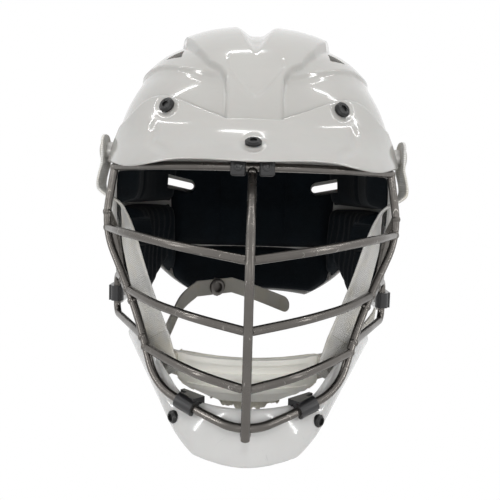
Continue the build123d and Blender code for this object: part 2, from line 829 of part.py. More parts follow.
def liner_pad(start, end, low, high, thickness):
    """Foam pad against the shell, thinner and drawn in along its edges."""
    inset = shell_wall + liner_gap
    draw = (end - start) * (1 - pad_edge_share) / 6
    sections = []
    for level_share in pad_level_shares:
        height = low + level_share * (high - low)
        at_edge = level_share in (0.0, 1.0)
        shrink = draw if at_edge else 0
        stations = [start + shrink + (end - start - 2 * shrink) * step / pad_segments
                    for step in range(pad_segments + 1)]
        outer = [plan_point(station, height, inset) for station in stations]
        inner = []
        for step, station in enumerate(stations):
            edge_share = pad_edge_share if step in (0, pad_segments) else 1
            level_part = pad_edge_share if at_edge else 1
            inner.append(plan_point(station, height, inset + thickness * edge_share * level_part))
        sections.append(Wire.make_polygon(outer + inner[::-1]))
    return Solid.make_loft(sections, ruled=True)


def make_crown_pad():
    """Domed cushion under the crown."""
    inset = shell_wall + liner_gap
    sections = []
    for drop_share, size_share in zip(crown_pad_drop_shares, crown_pad_size_shares):
        height = shell_crown_height - inset - drop_share * crown_pad_thickness
        stations = [step / pad_segments - 2 for step in range(4 * pad_segments)]
        points = [plan_point(station, height, inset) for station in stations]
        points = [Vector(point.X * size_share, point.Y * size_share, point.Z) for point in points]
        sections.append(Wire.make_polygon(points))
    return Solid.make_loft(sections, ruled=True)


def make_ear_pad():
    """Cushion inside the ear flap and behind the ear."""
    pad = liner_pad(*ear_pad_turn_shares, ear_pad_foot_height, side_pad_foot_height - pad_seam,
                    ear_pad_thickness)
    return pad - ear_hole()


def make_liner(pockets):
    """Pads all round the inside of the shell, with pockets over the nuts and rivets."""
    nape_top = rear_pad_foot_height - pad_seam
    side = liner_pad(*side_pad_turn_shares, side_pad_foot_height, liner_crest_height,
                     liner_thickness)
    pads = {
        "brow_pad": liner_pad(-brow_pad_half_turn_share, brow_pad_half_turn_share,
                              brow_height + liner_gap, liner_crest_height, liner_thickness),
        "side_pad_right": side,
        "side_pad_left": mirror_x(side),
        "rear_pad": liner_pad(*rear_pad_turn_shares, rear_pad_foot_height, liner_crest_height,
                              liner_thickness),
        "nape_pad": liner_pad(*rear_pad_turn_shares, nape_pad_foot_height, nape_top,
                              nape_pad_thickness),
        "crown_pad": make_crown_pad(),
        "ear_pads": make_ear_pad()}
    edge = Pos(0, pad_edge_gap, pad_edge_gap) * side_cutter(edge_profile(), shell_half_width)
    for name in pads:
        pads[name] = pads[name] & edge
        for cut in pockets:
            pads[name] = pads[name] - cut - mirror_x(cut)
        pads[name] = largest(pads[name])
    pads["ear_pads"] = both_sides(pads["ear_pads"])
    return pads


# Snap fasteners
def snap_place(y, height):
    return place_on((side_half_width(y, height), y, height), (1, 0, 0))


def snap_stud(place, outer, inner):
    """Base cut to the shell, headed post, and a shank riveted on the inside."""
    neck = snap_base_height + snap_post_height
    base = rod(place, snap_base_radius, -snap_base_radius, snap_base_height) - outer
    post = rod(place, snap_post_radius, -snap_shank_depth, neck)
    head = rod(place, snap_head_radius, neck, neck + snap_head_height)
    rivet = rod(place, snap_head_radius + screw_gap, -snap_shank_depth, 0) & inner
    return largest(largest(base) + post + head + largest(rivet))


def snap_hole(place):
    return rod(place, snap_post_radius + screw_gap, -overrun / 2, overrun / 2)


def snap_socket(place):
    """Cap and barrel that hold the strap and close round the head of the stud."""
    low = snap_base_height + snap_gap
    seat = low + snap_barrel_height
    barrel = rod(place, snap_barrel_radius, low, seat)
    cap = turned(place, [(0, seat), (snap_cap_radius, seat),
                         (snap_cap_radius, seat + snap_cap_height / 2),
                         (snap_cap_radius * 0.7, seat + snap_cap_height),
                         (0, seat + snap_cap_height)])
    roof = snap_base_height + snap_post_height + snap_head_height + snap_gap
    return largest(barrel + cap - rod(place, snap_head_radius + snap_gap, 0, roof))


# Chin cup
def cup_axis():
    return Plane(origin=(0, cup_radius - cup_reach, 0), x_dir=(0, -1, 0), z_dir=(0, 0, 1))


def cup_sweep(profile, half_turn):
    """Piece bent round the chin, from a profile of radius and height."""
    outline = Wire.make_polygon([Vector(radius, 0, height) for radius, height in profile])
    body = Rot(0, 0, -half_turn) * revolve(Face(outline), Axis.Z, revolution_arc=2 * half_turn)
    return cup_axis() * body


def cup_outline():
    """Front view of the cup, narrower towards the foot, as a prism."""
    half_width = cup_radius * math.sin(math.radians(cup_half_turn))
    height = cup_head_height - cup_foot_height
    right = [(x * half_width, cup_foot_height + z * height) for x, z in cup_outline_shares]
    right.insert(0, (half_width, cup_head_height + cup_curl))
    points = right + [(-x, z) for x, z in reversed(right)]
    frame = Plane(origin=(0, 0, 0), x_dir=(1, 0, 0), z_dir=(0, -1, 0))
    return extrude(frame * Polygon(*points, align=None), cup_reach + overrun, both=True)


def cup_rivet_place():
    turn = math.radians(cup_rivet_turn)
    normal = Vector(math.sin(turn), -math.cos(turn), 0)
    height = cup_foot_height + cup_rivet_share * (cup_head_height - cup_foot_height)
    return place_on(Vector(0, cup_radius - cup_reach, height) + normal * cup_radius, normal)


def make_cup(hole):
    """Thin cup with ribs across it, its foot curled in under the chin."""
    inner = cup_radius - cup_wall
    curl_inner = inner - cup_curl
    profile = [(cup_radius, cup_head_height), (cup_radius, cup_foot_height + cup_curl),
               (curl_inner + cup_wall, cup_foot_height), (curl_inner, cup_foot_height),
               (inner, cup_foot_height + cup_curl + cup_wall / 2), (inner, cup_head_height)]
    body = cup_sweep(profile, cup_half_turn)
    for rib in range(cup_ribs):
        top = cup_head_height - rib * cup_rib_pitch
        bottom = top - cup_rib_width
        outline = [(inner + cup_wall / 2, top), (cup_radius + cup_rib_rise, top),
                   (cup_radius + cup_rib_rise, bottom), (inner + cup_wall / 2, bottom)]
        body = body + cup_sweep(outline, cup_rib_half_turn)
    return largest((body & cup_outline()) - hole - mirror_x(hole))


def make_cup_pad():
    """Soft crowned pad inside the cup."""
    outer = cup_radius - cup_wall - cup_pad_gap
    inner = outer - cup_pad_thickness
    foot = cup_foot_height + cup_curl + cup_wall
    height = cup_head_height - foot
    edge = cup_pad_thickness * (1 - pad_edge_share)
    profile = [(outer, foot), (inner + edge, foot), (inner, foot + height / 3),
               (inner, cup_head_height - height / 3), (inner + edge, cup_head_height),
               (outer, cup_head_height)]
    return cup_sweep(profile, cup_pad_half_turn)


def make_cup_rivet(place, layers):
    """Rivet through the cup and the straps on it."""
    height = layer_foot(layers - 1) + strap_thickness + strap_gap
    wall = cup_wall + rivet_height / 2
    return largest(rod(place, rivet_radius, height, height + rivet_height)
                   + rod(place, rivet_shank_radius, -wall, height)
                   + rod(place, rivet_radius, -wall - rivet_height / 2, -wall))


# Chin straps
def ribbon(stations, width):
    """Flat strap through stations, each a middle, a direction across and a share of width."""
    sections = []
    for index, (middle, across, width_share) in enumerate(stations):
        before = stations[max(index - 1, 0)][0]
        after = stations[min(index + 1, len(stations) - 1)][0]
        along = (after - before).normalized()
        face = along.cross(across).normalized() * (strap_thickness / 2)
        edge = across.normalized() * (width * width_share / 2)
        sections.append(Wire.make_polygon([middle + edge + face, middle + edge - face,
                                           middle - edge - face, middle - edge + face]))
    lengths = [Solid.make_loft([low, high], ruled=True)
               for low, high in zip(sections, sections[1:])]
    return lengths[0].fuse(*lengths[1:])


def curve_point(points, index, share):
    """Point of a smooth curve through points, this share of the way on from one of them."""
    before, start, end, after = [points[min(max(index + step, 0), len(points) - 1)]
                                 for step in (-1, 0, 1, 2)]
    return (start * 2 + (end - before) * share
            + (before * 2 - start * 5 + end * 4 - after) * share ** 2
            + (start * 3 - before - end * 3 + after) * share ** 3) * 0.5


def smoothed(stations):
    """The same stations with more between them, on a smooth curve."""
    middles = [middle for middle, _, _ in stations]
    rows = []
    for index, (start, end) in enumerate(zip(stations, stations[1:])):
        for step in range(strap_steps):
            share = step / strap_steps
            across = start[1].normalized() * (1 - share) + end[1].normalized() * share
            rows.append((curve_point(middles, index, share), across, 1))
    return rows + [stations[-1]]


def tip_stations(end, along, across):
    """Rounded tip that follows the last full section of a strap."""
    return [(end + along * (length * strap_tip_length), across, share)
            for length, share in strap_tip_shares]


def layer_foot(layer):
    """Height of the inner face of a strap that lies on the cup in this layer."""
    return strap_gap + layer * (strap_thickness + strap_gap + strap_play)


def layer_middle(place, layer):
    return place.origin + place.z_dir * (layer_foot(layer) + strap_thickness / 2)


def high_strap_end():
    """Top of the high strap, over the stud."""
    place = snap_place(-snap_reach, snap_height)
    lift = snap_base_height + snap_gap + strap_gap + strap_thickness / 2
    return place.origin + Vector(lift, 0, 0)


def make_high_strap(rivet, hole, barrel_hole):
    """Wide strap from the cup end up past the cheek to the snap on the temple."""
    start = layer_middle(rivet, 1)
    path = [Vector(*point) for point in high_strap_path]
    tangent = Vector(0, 0, 1).cross(rivet.z_dir)
    rise = path[0] - start
    along = (rise - rivet.z_dir * rise.dot(rivet.z_dir)).normalized()
    low_across = along.cross(rivet.z_dir).normalized()
    if low_across.dot(tangent) < 0:
        low_across = -low_across
    curve = [(start + along * high_strap_lead, low_across, 1)]
    level = Vector(0, 1, 0)
    for point, turn_share in zip(path, high_strap_turn_shares):
        across = low_across * (1 - turn_share) + level * turn_share
        curve.append((point, across, 1))
    top = high_strap_end()
    curve.append((top - Vector(0, 0, strap_end_length), level, 1))
    stations = [(start - along * strap_end_length, low_across, 1)] + smoothed(curve)
    stations.append((top + Vector(0, 0, strap_end_length), level, 1))
    stations += tip_stations(stations[-1][0], Vector(0, 0, 1), level)
    return largest(ribbon(stations, high_strap_width) - hole - barrel_hole)


def make_low_strap_left(rivet, hole):
    """Narrow strap from the left end of the cup, unfastened and lying back in the helmet."""
    upright = Vector(0, 0, 1)
    start = layer_middle(rivet, 0)
    back = rivet.z_dir.cross(upright)
    if back.Y < 0:
        back = -back
    curve = [start + back * low_strap_lead] + [Vector(*point) for point in low_strap_left_path]
    curve = [(point, upright, 1) for point in curve]
    buckle = len(curve) - left_tail_points
    stations = [(start - back * strap_end_length, upright, 1)]
    stations += smoothed(curve[:buckle]) + smoothed(curve[buckle:])
    along = (stations[-1][0] - stations[-2][0]).normalized()
    stations += tip_stations(stations[-1][0], along, upright)
    return largest(ribbon(stations, low_strap_width) - hole)


def low_strap_end():
    """Middle of the right low strap where the buckle holds it over the stud."""
    place = snap_place(low_snap_reach, low_snap_height)
    lift = (snap_base_height + snap_gap + buckle_ring_height + buckle_plate + strap_gap
            + strap_thickness / 2)
    return place.origin + Vector(lift, 0, 0)


def low_strap_right_along():
    end = low_strap_end()
    last = Vector(*low_strap_right_path[-1])
    return Vector(0, end.Y - last.Y, end.Z - last.Z).normalized()


def make_low_strap_right(rivet, hole):
    """Narrow strap from the right end of the cup, under the ear flap to its buckle."""
    upright = Vector(0, 0, 1)
    start = layer_middle(rivet, 0)
    back = upright.cross(rivet.z_dir)
    if back.Y < 0:
        back = -back
    curve = [(start + back * low_strap_lead, upright, 1)]
    end = low_strap_end()
    along = low_strap_right_along()
    last_across = Vector(0, -along.Z, along.Y)
    steps = len(low_strap_right_path)
    for index, point in enumerate(low_strap_right_path):
        turn_share = max(0, (index - 1) / (steps - 1))
        across = upright * (1 - turn_share) + last_across * turn_share
        curve.append((Vector(*point), across, 1))
    curve.append((end - along * (buckle_length / 2), last_across, 1))
    stations = [(start - back * strap_end_length, upright, 1)] + smoothed(curve)
    stations.append((end + along * (buckle_length / 2), last_across, 1))
    stations += tip_stations(stations[-1][0], along, last_across)
    return largest(ribbon(stations, low_strap_width) - hole)


def make_buckle(place):
    """Plate with a snap ring, carried on the strap by two bars behind it."""
    half = buckle_length / 2
    side = low_strap_width / 2 + strap_gap
    front = strap_thickness / 2 + strap_gap
    back = -front
    plate = slab(place, (-half, half), (-side - buckle_side, side + buckle_side),
                 (front, front + buckle_plate))
    body = plate + rod(place, buckle_ring_radius, front, front + buckle_plate + buckle_ring_height)
    for turn in (-1, 1):
        rail = sorted([turn * side, turn * (side + buckle_side)])
        body = body + slab(place, (-half, half), rail, (back - buckle_plate, front))
        bar = sorted([turn * half, turn * (half - buckle_bar_length)])
        body = body + slab(place, bar, (-side - buckle_side, side + buckle_side),
                           (back - buckle_plate, back))
    return largest(body - rod(place, buckle_hole_radius, front, overrun))


def left_buckle_place():
    buckle = len(low_strap_left_path) - left_tail_points
    before, after = [Vector(*point) for point in low_strap_left_path[buckle - 1:buckle + 1]]
    along = (after - before).normalized()
    face = along.cross(Vector(0, 0, 1)).normalized()
    return Plane(origin=before + (after - before) * left_buckle_share, x_dir=along, z_dir=face)


def right_buckle_place():
    return Plane(origin=low_strap_end(), x_dir=low_strap_right_along(), z_dir=(-1, 0, 0))


# Assembly
def make_helmet():
    outer = shell_core(0) + raised_crown() + brow_column() - crown_valley()
    inner = shell_core(shell_wall)
    visor_outer = visor_core(0)
    visor_inner = visor_core(visor_wall)
    side_screw = side_screw_place()
    centre_screw = centre_screw_place()
    clip_screw = side_clip_screw()
    high_snap = snap_place(-snap_reach, snap_height)
    low_snap = snap_place(low_snap_reach, low_snap_height)
    side_hole = screw_hole(side_screw, overrun / 2)
    centre_hole = screw_hole(centre_screw, centre_screw_depth)
    clip_hole = screw_hole(clip_screw, small_screw_depth)

    parts = {"shell": make_shell(outer, inner, [side_hole, clip_hole, snap_hole(high_snap),
                                                snap_hole(low_snap)])}
    parts["visor"] = make_visor(visor_outer, visor_inner, outer, [side_hole, centre_hole])
    side = pan_screw(side_screw, visor_outer, screw_head_radius, side_screw_depth)
    parts["visor_screws"] = Compound([side, mirror_x(side), pan_screw(
        centre_screw, visor_outer, screw_head_radius, centre_screw_depth)])
    parts["visor_nuts"] = both_sides(nut(side_screw, side_screw_depth, inner))

    rim_path = wire_path(both_ways([mask_point(shares) for shares in rim_shares]))
    top_path = wire_path(both_ways([mask_point(rim_shares[0]), mask_point(top_bar_shares)]))
    parts.update(make_mask(rim_path, top_path))
    parts["top_clip"] = make_top_clip(top_path, visor_inner, outer, centre_hole)

    chin_axis = chin_clip_axis(rim_path)
    chin_screw = chin_screw_place()
    band = guard_band() - bent_wire(rim_path, wire_diameter + 2 * sleeve_gap)
    sleeve_room = rod(chin_axis, sleeve_radius + sleeve_gap, -chin_clip_length,
                      chin_clip_length)
    chin_hole = screw_hole(chin_screw, small_screw_depth)
    guard = band - sleeve_room - mirror_x(sleeve_room)
    parts["chin_guard"] = largest(guard - chin_hole - mirror_x(chin_hole))
    parts["chin_clips"] = both_sides(make_chin_clip(chin_axis, guard))
    parts["chin_screws"] = both_sides(pan_screw(chin_screw, guard, small_head_radius,
                                                small_screw_depth))
    parts["side_clips"] = both_sides(make_side_clip())
    parts["side_screws"] = both_sides(pan_screw(
        clip_screw, rod(clip_screw, overrun, -overrun, 0), small_head_radius, small_screw_depth))
    parts["side_nuts"] = both_sides(nut(clip_screw, small_screw_depth, inner))

    nut_room = rod(side_screw, nut_radius + liner_gap, -side_screw_depth - liner_gap, 0)
    rivet_rooms = [rod(snap, snap_base_radius, -snap_shank_depth - liner_gap, 0)
                   for snap in (high_snap, low_snap)]
    parts.update(make_liner([nut_room, back_vent(back_vent_width / 2)] + rivet_rooms))

    parts["high_snap_studs"] = both_sides(snap_stud(high_snap, outer, inner))
    parts["low_snap_studs"] = both_sides(snap_stud(low_snap, outer, inner))
    parts["high_snap_sockets"] = both_sides(snap_socket(high_snap))
    rivet = cup_rivet_place()
    rivet_hole = rod(rivet, rivet_shank_radius + screw_gap, -overrun / 2, overrun / 2)
    barrel_hole = rod(high_snap, snap_barrel_radius + strap_gap, 0, overrun)
    parts["chin_cup"] = make_cup(rivet_hole)
    parts["chin_cup_pad"] = make_cup_pad()
    parts["cup_rivets"] = both_sides(make_cup_rivet(rivet, 2))
    high_strap = make_high_strap(rivet, rivet_hole, barrel_hole)
    parts["high_strap_right"] = high_strap
    parts["high_strap_left"] = mirror_x(high_strap)
    left_rivet = place_on(mirrored(rivet.origin), mirrored(rivet.z_dir))
    parts["low_strap_left"] = make_low_strap_left(left_rivet, mirror_x(rivet_hole))
    parts["low_buckle_left"] = make_buckle(left_buckle_place())
    parts["low_strap_right"] = make_low_strap_right(rivet, rivet_hole)
    parts["low_buckle_right"] = make_buckle(right_buckle_place())
    return parts


def stood(solid):
    """The piece as the helmet stands on its chin guard and nape."""
    turn = Pos(0, -guard_foot_reach, 0) * Rot(-rest_tilt, 0, 0) * Pos(0, guard_foot_reach, 0)
    return turn * solid


nodes = {name: stood(solid) for name, solid in make_helmet().items()}
boxes = [solid.bounding_box() for solid in nodes.values()]
low_x, high_x = min(box.min.X for box in boxes), max(box.max.X for box in boxes)
low_y, high_y = min(box.min.Y for box in boxes), max(box.max.Y for box in boxes)
low_z = min(box.min.Z for box in boxes)
shift = Pos(-(low_x + high_x) / 2, -(low_y + high_y) / 2, -low_z)
print("turned back by", rest_tilt, "then moved by", shift.position)

os.makedirs("parts", exist_ok=True)
for name, solid in nodes.items():
    export_step(shift * solid, f"parts/{name}.step")
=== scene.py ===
import bpy, bmesh, math
import numpy as np
from mathutils import Matrix, Vector


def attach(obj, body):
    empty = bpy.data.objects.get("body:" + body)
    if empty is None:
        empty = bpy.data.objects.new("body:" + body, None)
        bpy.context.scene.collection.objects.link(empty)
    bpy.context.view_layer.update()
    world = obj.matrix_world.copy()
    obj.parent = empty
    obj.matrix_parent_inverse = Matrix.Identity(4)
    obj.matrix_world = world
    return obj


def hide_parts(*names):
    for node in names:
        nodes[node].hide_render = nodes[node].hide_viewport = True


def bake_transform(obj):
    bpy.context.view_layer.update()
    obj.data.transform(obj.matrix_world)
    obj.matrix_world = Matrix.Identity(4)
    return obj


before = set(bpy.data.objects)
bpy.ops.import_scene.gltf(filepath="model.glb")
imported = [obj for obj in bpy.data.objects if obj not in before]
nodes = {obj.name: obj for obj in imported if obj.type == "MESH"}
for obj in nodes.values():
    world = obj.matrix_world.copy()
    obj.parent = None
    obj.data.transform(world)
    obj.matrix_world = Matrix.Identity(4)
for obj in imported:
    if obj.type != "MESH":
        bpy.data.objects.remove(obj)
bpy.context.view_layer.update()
scene = bpy.context.scene

# Shell. Gloss white moulded plastic, one dome with two crown lobes; everything else is fixed to it.
# The surface follows the drawing's egg-shaped sections, with lobes, column, ledges and recess added.
# Places are millimetres of the level helmet, which then tilts back onto its chin guard and nape.
tilt = math.radians(12.190159)
pivot_y = -166.0
shift = np.array([-2.1, 6.557, 0.0])


def stood(points):
    """Points of the level helmet in millimetres, as points of the standing one in metres."""
    p = np.asarray(points, float)
    y, z = p[..., 1] - pivot_y, p[..., 2]
    turned = np.stack([p[..., 0], pivot_y + y * math.cos(tilt) + z * math.sin(tilt),
                       z * math.cos(tilt) - y * math.sin(tilt)], -1)
    return (turned + shift) / 1000


def ground(y):
    """Height at which the tilted helmet's ground runs through the level one."""
    return (y - pivot_y) * math.tan(tilt)


def smooth(low, high, value):
    """Soft step from 0 at low to 1 at high."""
    t = np.clip((value - low) / (high - low), 0, 1)
    return t * t * (3 - 2 * t)


def unit(v):
    """Directions of length 1."""
    v = np.asarray(v, float)
    return v / np.maximum(np.linalg.norm(v, axis=-1, keepdims=True), 1e-9)


HALF = 111.0
FRONT = 131.0
BACK = 130.0
WIDEST = 170.0
CROWN = 285.0
POWER = 2.2
LOWER_TAPER = 0.09
FRONT_FULL, BACK_FULL = 0.70, 0.62
FRONT_POWER, BACK_POWER = 2.557, 2.227
ANGLE_RUN = 150.0
SHELL_WALL = 3.5

# Forms of the crown, as rows of a place and a size. The lobes, their edges and the valley run from
# brow to nape by y; the rise runs by height and the ledge's height by distance from the middle.
LOBE_HALF = ([-126, -118, -112, -107, -102, -88, -65, -33, 0, 60, 88, 114],
             [17.6, 17.8, 18.6, 22.4, 29.7, 38.6, 48.2, 53.8, 56, 52, 43, 31])
LOBE_EDGE = ([-126, -105, -75, -30, 40, 100], [1.7, 2.0, 2.8, 4, 6, 9])
LOBE_RISE = ([196, 208, 218, 230, 240, 256], [2.6, 3.2, 4.2, 5.6, 6.3, 7.0])
LOBE_FADE = (60, 112)
VALLEY_HALF = ([-104, -99, -92, -84, -66, -33, 0, 80, 114], [0.4, 2.0, 6.0, 9.0, 13, 17.5, 18, 18, 14])
VALLEY_DEPTH = ([-104, -99, -92, -84, -66, -33, 60, 112], [0, 0.3, 2.4, 4.4, 6.2, 7, 7, 0])
COLUMN_HALF = 17.5
RECESS_FOOT, RECESS_RISE, RECESS_DEPTH = 221, 18, 1.4
LEDGE_HEIGHT = ([0, 22, 29, 38, 49, 60, 68, 90], [237, 237.5, 239, 241.5, 244.2, 247, 248, 244])
LEDGE_RISE, LEDGE_DIP = 2.0, 1.1


def share_at(z, inset=0.0):
    """Share of the widest section that the dome has at a height."""
    up = np.clip((z - WIDEST) / (CROWN - inset - WIDEST), 0, 1)
    down = np.clip((WIDEST - z) / WIDEST, 0, 1)
    return np.where(z >= WIDEST, (1 - up ** POWER) ** (1 / POWER), 1 - LOWER_TAPER * down ** 2)


def plan(station, half, front, back, front_full=FRONT_FULL):
    """Plan point of a station: 0 front, 1 right side, 2 or -2 back, -1 left side."""
    turn = np.abs(station)
    fore = turn <= 1
    t = np.where(fore, 1 - turn, turn - 1)
    full = np.where(fore, front_full, BACK_FULL)
    reach = np.where(fore, -front, back)
    b0, b1, b2, b3 = (1 - t) ** 3, 3 * (1 - t) ** 2 * t, 3 * (1 - t) * t * t, t ** 3
    return np.sign(station) * half * (b0 + b1 + full * b2), reach * (full * b1 + b2 + b3)


def section(station, share, inset=0.0):
    """Plan point of the dome at this share of its widest section."""
    return plan(station, (HALF - inset) * share, (FRONT - inset) * share, (BACK - inset) * share)


def relief(x, y, z):
    """How far the moulded forms stand proud of the plain dome."""
    ax = np.abs(x)
    edge = np.interp(y, *LOBE_EDGE)
    raised = smooth(-edge, edge * 0.6, np.interp(y, *LOBE_HALF) - ax)
    rise = np.interp(z, *LOBE_RISE) * (1 - smooth(*LOBE_FADE, y))
    groove = np.interp(y, *VALLEY_DEPTH) * (1 - smooth(0.18, 1.0, ax / np.interp(y, *VALLEY_HALF)))
    above = z - (RECESS_FOOT + RECESS_RISE * (ax / COLUMN_HALF) ** 1.5)
    recess = RECESS_DEPTH * smooth(-1.0, 3.0, above) * (1 - smooth(232, 254, z))
    recess = recess * (ax < COLUMN_HALF) * (y < -60)
    above = z - np.interp(ax, *LEDGE_HEIGHT)
    ledge = (LEDGE_RISE * smooth(-1.4, 1.4, above) * (1 - smooth(8, 30, above))
             - LEDGE_DIP * smooth(1, -6, above) * smooth(200, 214, z))
    ledge = ledge * (1 - smooth(-48, -8, y)) * (1 - raised)
    return raised * rise - groove - recess + ledge


def dome_normal(p, inset=0.0):
    """Outward direction of the plain dome, from the fall of its widths."""
    x, y, z = p[..., 0], p[..., 1], p[..., 2]
    power = np.where(y < 0, FRONT_POWER, BACK_POWER)
    reach, half = np.where(y < 0, FRONT, BACK) - inset, HALF - inset
    rho = ((np.abs(x) / half) ** power + (np.abs(y) / reach) ** power) ** (1 / power)
    rho = np.maximum(rho, 1e-4)
    gx = np.sign(x) * (np.abs(x) / half) ** (power - 1) / half * rho ** (1 - power)
    gy = np.sign(y) * (np.abs(y) / reach) ** (power - 1) / reach * rho ** (1 - power)
    high = z >= WIDEST
    up = np.clip((z - WIDEST) / (CROWN - inset - WIDEST), 0, 1)
    gz = np.where(high, up ** (POWER - 1) / (CROWN - inset - WIDEST),
                  -2 * LOWER_TAPER * (WIDEST - z) / WIDEST ** 2)
    k = np.where(high, np.clip(rho, 0, 1) ** (POWER - 1), 1.0)
    return unit(np.stack([gx * k, gy * k, gz], -1))


def dome(station, q, inset=0.0, proud=True):
    """Point of the dome; q is the height up to the widest section and an angle share above it."""
    angle = np.clip((q - WIDEST) / ANGLE_RUN, 0, 1) * math.pi / 2
    z = np.where(q <= WIDEST, q, WIDEST + np.sin(angle) ** (2 / POWER) * (CROWN - inset - WIDEST))
    share = np.where(q <= WIDEST, share_at(np.minimum(q, WIDEST)), np.cos(angle) ** (2 / POWER))
    x, y = section(station, share, inset)
    p = np.stack([x, y, z], -1)
    return p + dome_normal(p, inset) * relief(x, y, z)[..., None] if proud else p


def angle_share(z, inset=0.0):
    """The q of a height on the dome."""
    up = np.clip((z - WIDEST) / (CROWN - inset - WIDEST), 0, 1)
    return np.where(z > WIDEST, WIDEST + ANGLE_RUN / (math.pi / 2) * np.arcsin(up ** (POWER / 2)), z)


def rounded(points, radii, steps=7):
    """Closed outline with its corners rounded off."""
    out = []
    for i, (corner, r) in enumerate(zip(points, radii)):
        c = np.array(corner, float)
        if not r:
            out.append(c)
            continue
        u = unit(np.array(points[i - 1], float) - c)
        v = unit(np.array(points[(i + 1) % len(points)], float) - c)
        run = r / math.tan(math.acos(np.clip(u @ v, -1, 1)) / 2)
        for t in np.linspace(0, 1, steps + 1):
            out.append((1 - t) ** 2 * (c + u * run) + 2 * t * (1 - t) * c + t * t * (c + v * run))
    return np.array(out)


# Corners of the shell's lower edge in side view, from brow to nape: y, height and radius.
EDGE_CORNERS = [(-140, 181.8, 0), (-64, 175, 26), (-27.6, 112, 26), (-26.4, 71, 8.5), (34, 71, 9),
                (74, 96, 16), (110, 62, 0), (140, 66, 0)]
EDGE_FRONT_Y, EDGE_BACK_Y = -130.4, 127.0
EDGE_STEP = 0.6


def edge_line():
    """Side view of the shell's lower edge from brow to nape: rows of y and height."""
    corners = EDGE_CORNERS + [(140, 400, 0), (-140, 400, 0)]
    path = rounded([corner[:2] for corner in corners], [corner[2] for corner in corners])[:-2]
    path[:, 1] = np.maximum(path[:, 1], ground(path[:, 0]))
    return path


def edge_columns(count):
    """Stations and heights of the shell's edge, evenly spaced along it from front to back."""
    path = edge_line()
    pieces = []
    for a, b in zip(path[:-1], path[1:]):
        steps = max(2, int(np.linalg.norm(b - a) / EDGE_STEP))
        pieces.append(a + (b - a) * np.linspace(0, 1, steps, False)[:, None])
    fine = np.concatenate(pieces)
    fine = fine[(fine[:, 0] > EDGE_FRONT_Y) & (fine[:, 0] < EDGE_BACK_Y)]
    grid = np.linspace(0, 2, 4001)
    stations = []
    for y, z in fine:
        stations.append(np.interp(y, section(grid, share_at(z))[1], grid))
    stations = np.maximum.accumulate(np.array(stations) + np.arange(len(stations)) * 1e-7)
    stations = np.concatenate([[0], stations, [2]])
    heights = np.concatenate([fine[:1, 1], fine[:, 1], fine[-1:, 1]])
    x, y = section(stations, 1.0)
    gaps = np.sqrt(np.diff(x) ** 2 + np.diff(y) ** 2 + np.diff(heights) ** 2)
    along = np.concatenate([[0], np.cumsum(gaps)])
    t = np.linspace(0, along[-1], count)
    return np.interp(t, along, stations), np.interp(t, along, heights)


def tidy_faces(mesh, merge=0.0):
    """Joins points that coincide and turns all faces outward."""
    bm = bmesh.new()
    bm.from_mesh(mesh)
    if merge:
        bmesh.ops.remove_doubles(bm, verts=bm.verts, dist=merge)
    bmesh.ops.recalc_face_normals(bm, faces=bm.faces)
    bm.to_mesh(mesh)
    bm.free()


def placed(name, data):
    """Object of a mesh, lamp or camera, put in the scene."""
    obj = bpy.data.objects.new(name, data)
    scene.collection.objects.link(obj)
    return obj


def linked(name, mesh, smooth_shade=True):
    """Object of a mesh, shaded and put in the scene."""
    mesh.polygons.foreach_set("use_smooth", [smooth_shade] * len(mesh.polygons))
    return placed(name, mesh)


def built(name, bm):
    """Object of a finished bmesh."""
    mesh = bpy.data.meshes.new(name)
    bm.to_mesh(mesh)
    bm.free()
    return linked(name, mesh)


def new_object(name, verts, faces, smooth_shade=True, merge=0.0):
    """Object of these points and faces, with its faces turned outward."""
    mesh = bpy.data.meshes.new(name)
    mesh.from_pydata([tuple(v) for v in verts], [], [tuple(f) for f in faces])
    mesh.validate()
    tidy_faces(mesh, merge)
    return linked(name, mesh, smooth_shade)


def sheet_object(name, outer, inner, closed=False, lip=1.0, lip_steps=3, pole=False):
    """Closed sheet between an outer and an inner grid, with rounded edges all round."""
    columns, rows = outer.shape[:2]
    verts = list(outer.reshape(-1, 3)) + list(inner.reshape(-1, 3))

    def index(i, j, layer):
        return layer * columns * rows + (i % columns) * rows + j

    faces = []
    for i in range(columns if closed else columns - 1):
        for j in range(rows - 1):
            for layer, turn in ((0, 1), (1, -1)):
                ring = [(i, j), (i + 1, j), (i + 1, j + 1), (i, j + 1)]
                corners = [index(*corner, layer) for corner in ring]
                faces.append(corners[:1] + corners[1:][::turn])
    # Each rim is a row of its points, and of their neighbours further in.
    end, top = columns - 1, rows - 1
    rims = [[(i, 0, i, 1) for i in range(columns)]]
    if closed and not pole:
        rims.append([(i, top, i, top - 1) for i in range(columns)][::-1])
    if not closed:
        rims = [rims[0] + [(end, j, end - 1, j) for j in range(1, rows)]
                + [(i, top, i, top - 1) for i in range(end - 1, -1, -1)]
                + [(0, j, 1, j) for j in range(top - 1, 0, -1)]]
    for rim in rims:
        loops = [[index(i, j, 0) for i, j, _, _ in rim]]
        for k in range(1, lip_steps + 1):
            angle = math.pi * k / (lip_steps + 1)
            loop = []
            for i, j, i2, j2 in rim:
                p, q = outer[i % columns, j], inner[i % columns, j]
                out = unit((p - outer[i2 % columns, j2]) + (q - inner[i2 % columns, j2]))
                wall = np.linalg.norm(p - q)
                verts.append((p + q) / 2 + (p - q) / 2 * math.cos(angle)
                             + out * wall / 2 * lip * math.sin(angle))
                loop.append(len(verts) - 1)
            loops.append(loop)
        loops.append([index(i, j, 1) for i, j, _, _ in rim])
        for near, far in zip(loops, loops[1:]):
            for k in range(len(rim)):
                after = (k + 1) % len(rim)
                faces.append((near[k], far[k], far[after], near[after]))
    return new_object(name, verts, faces, merge=2e-5)


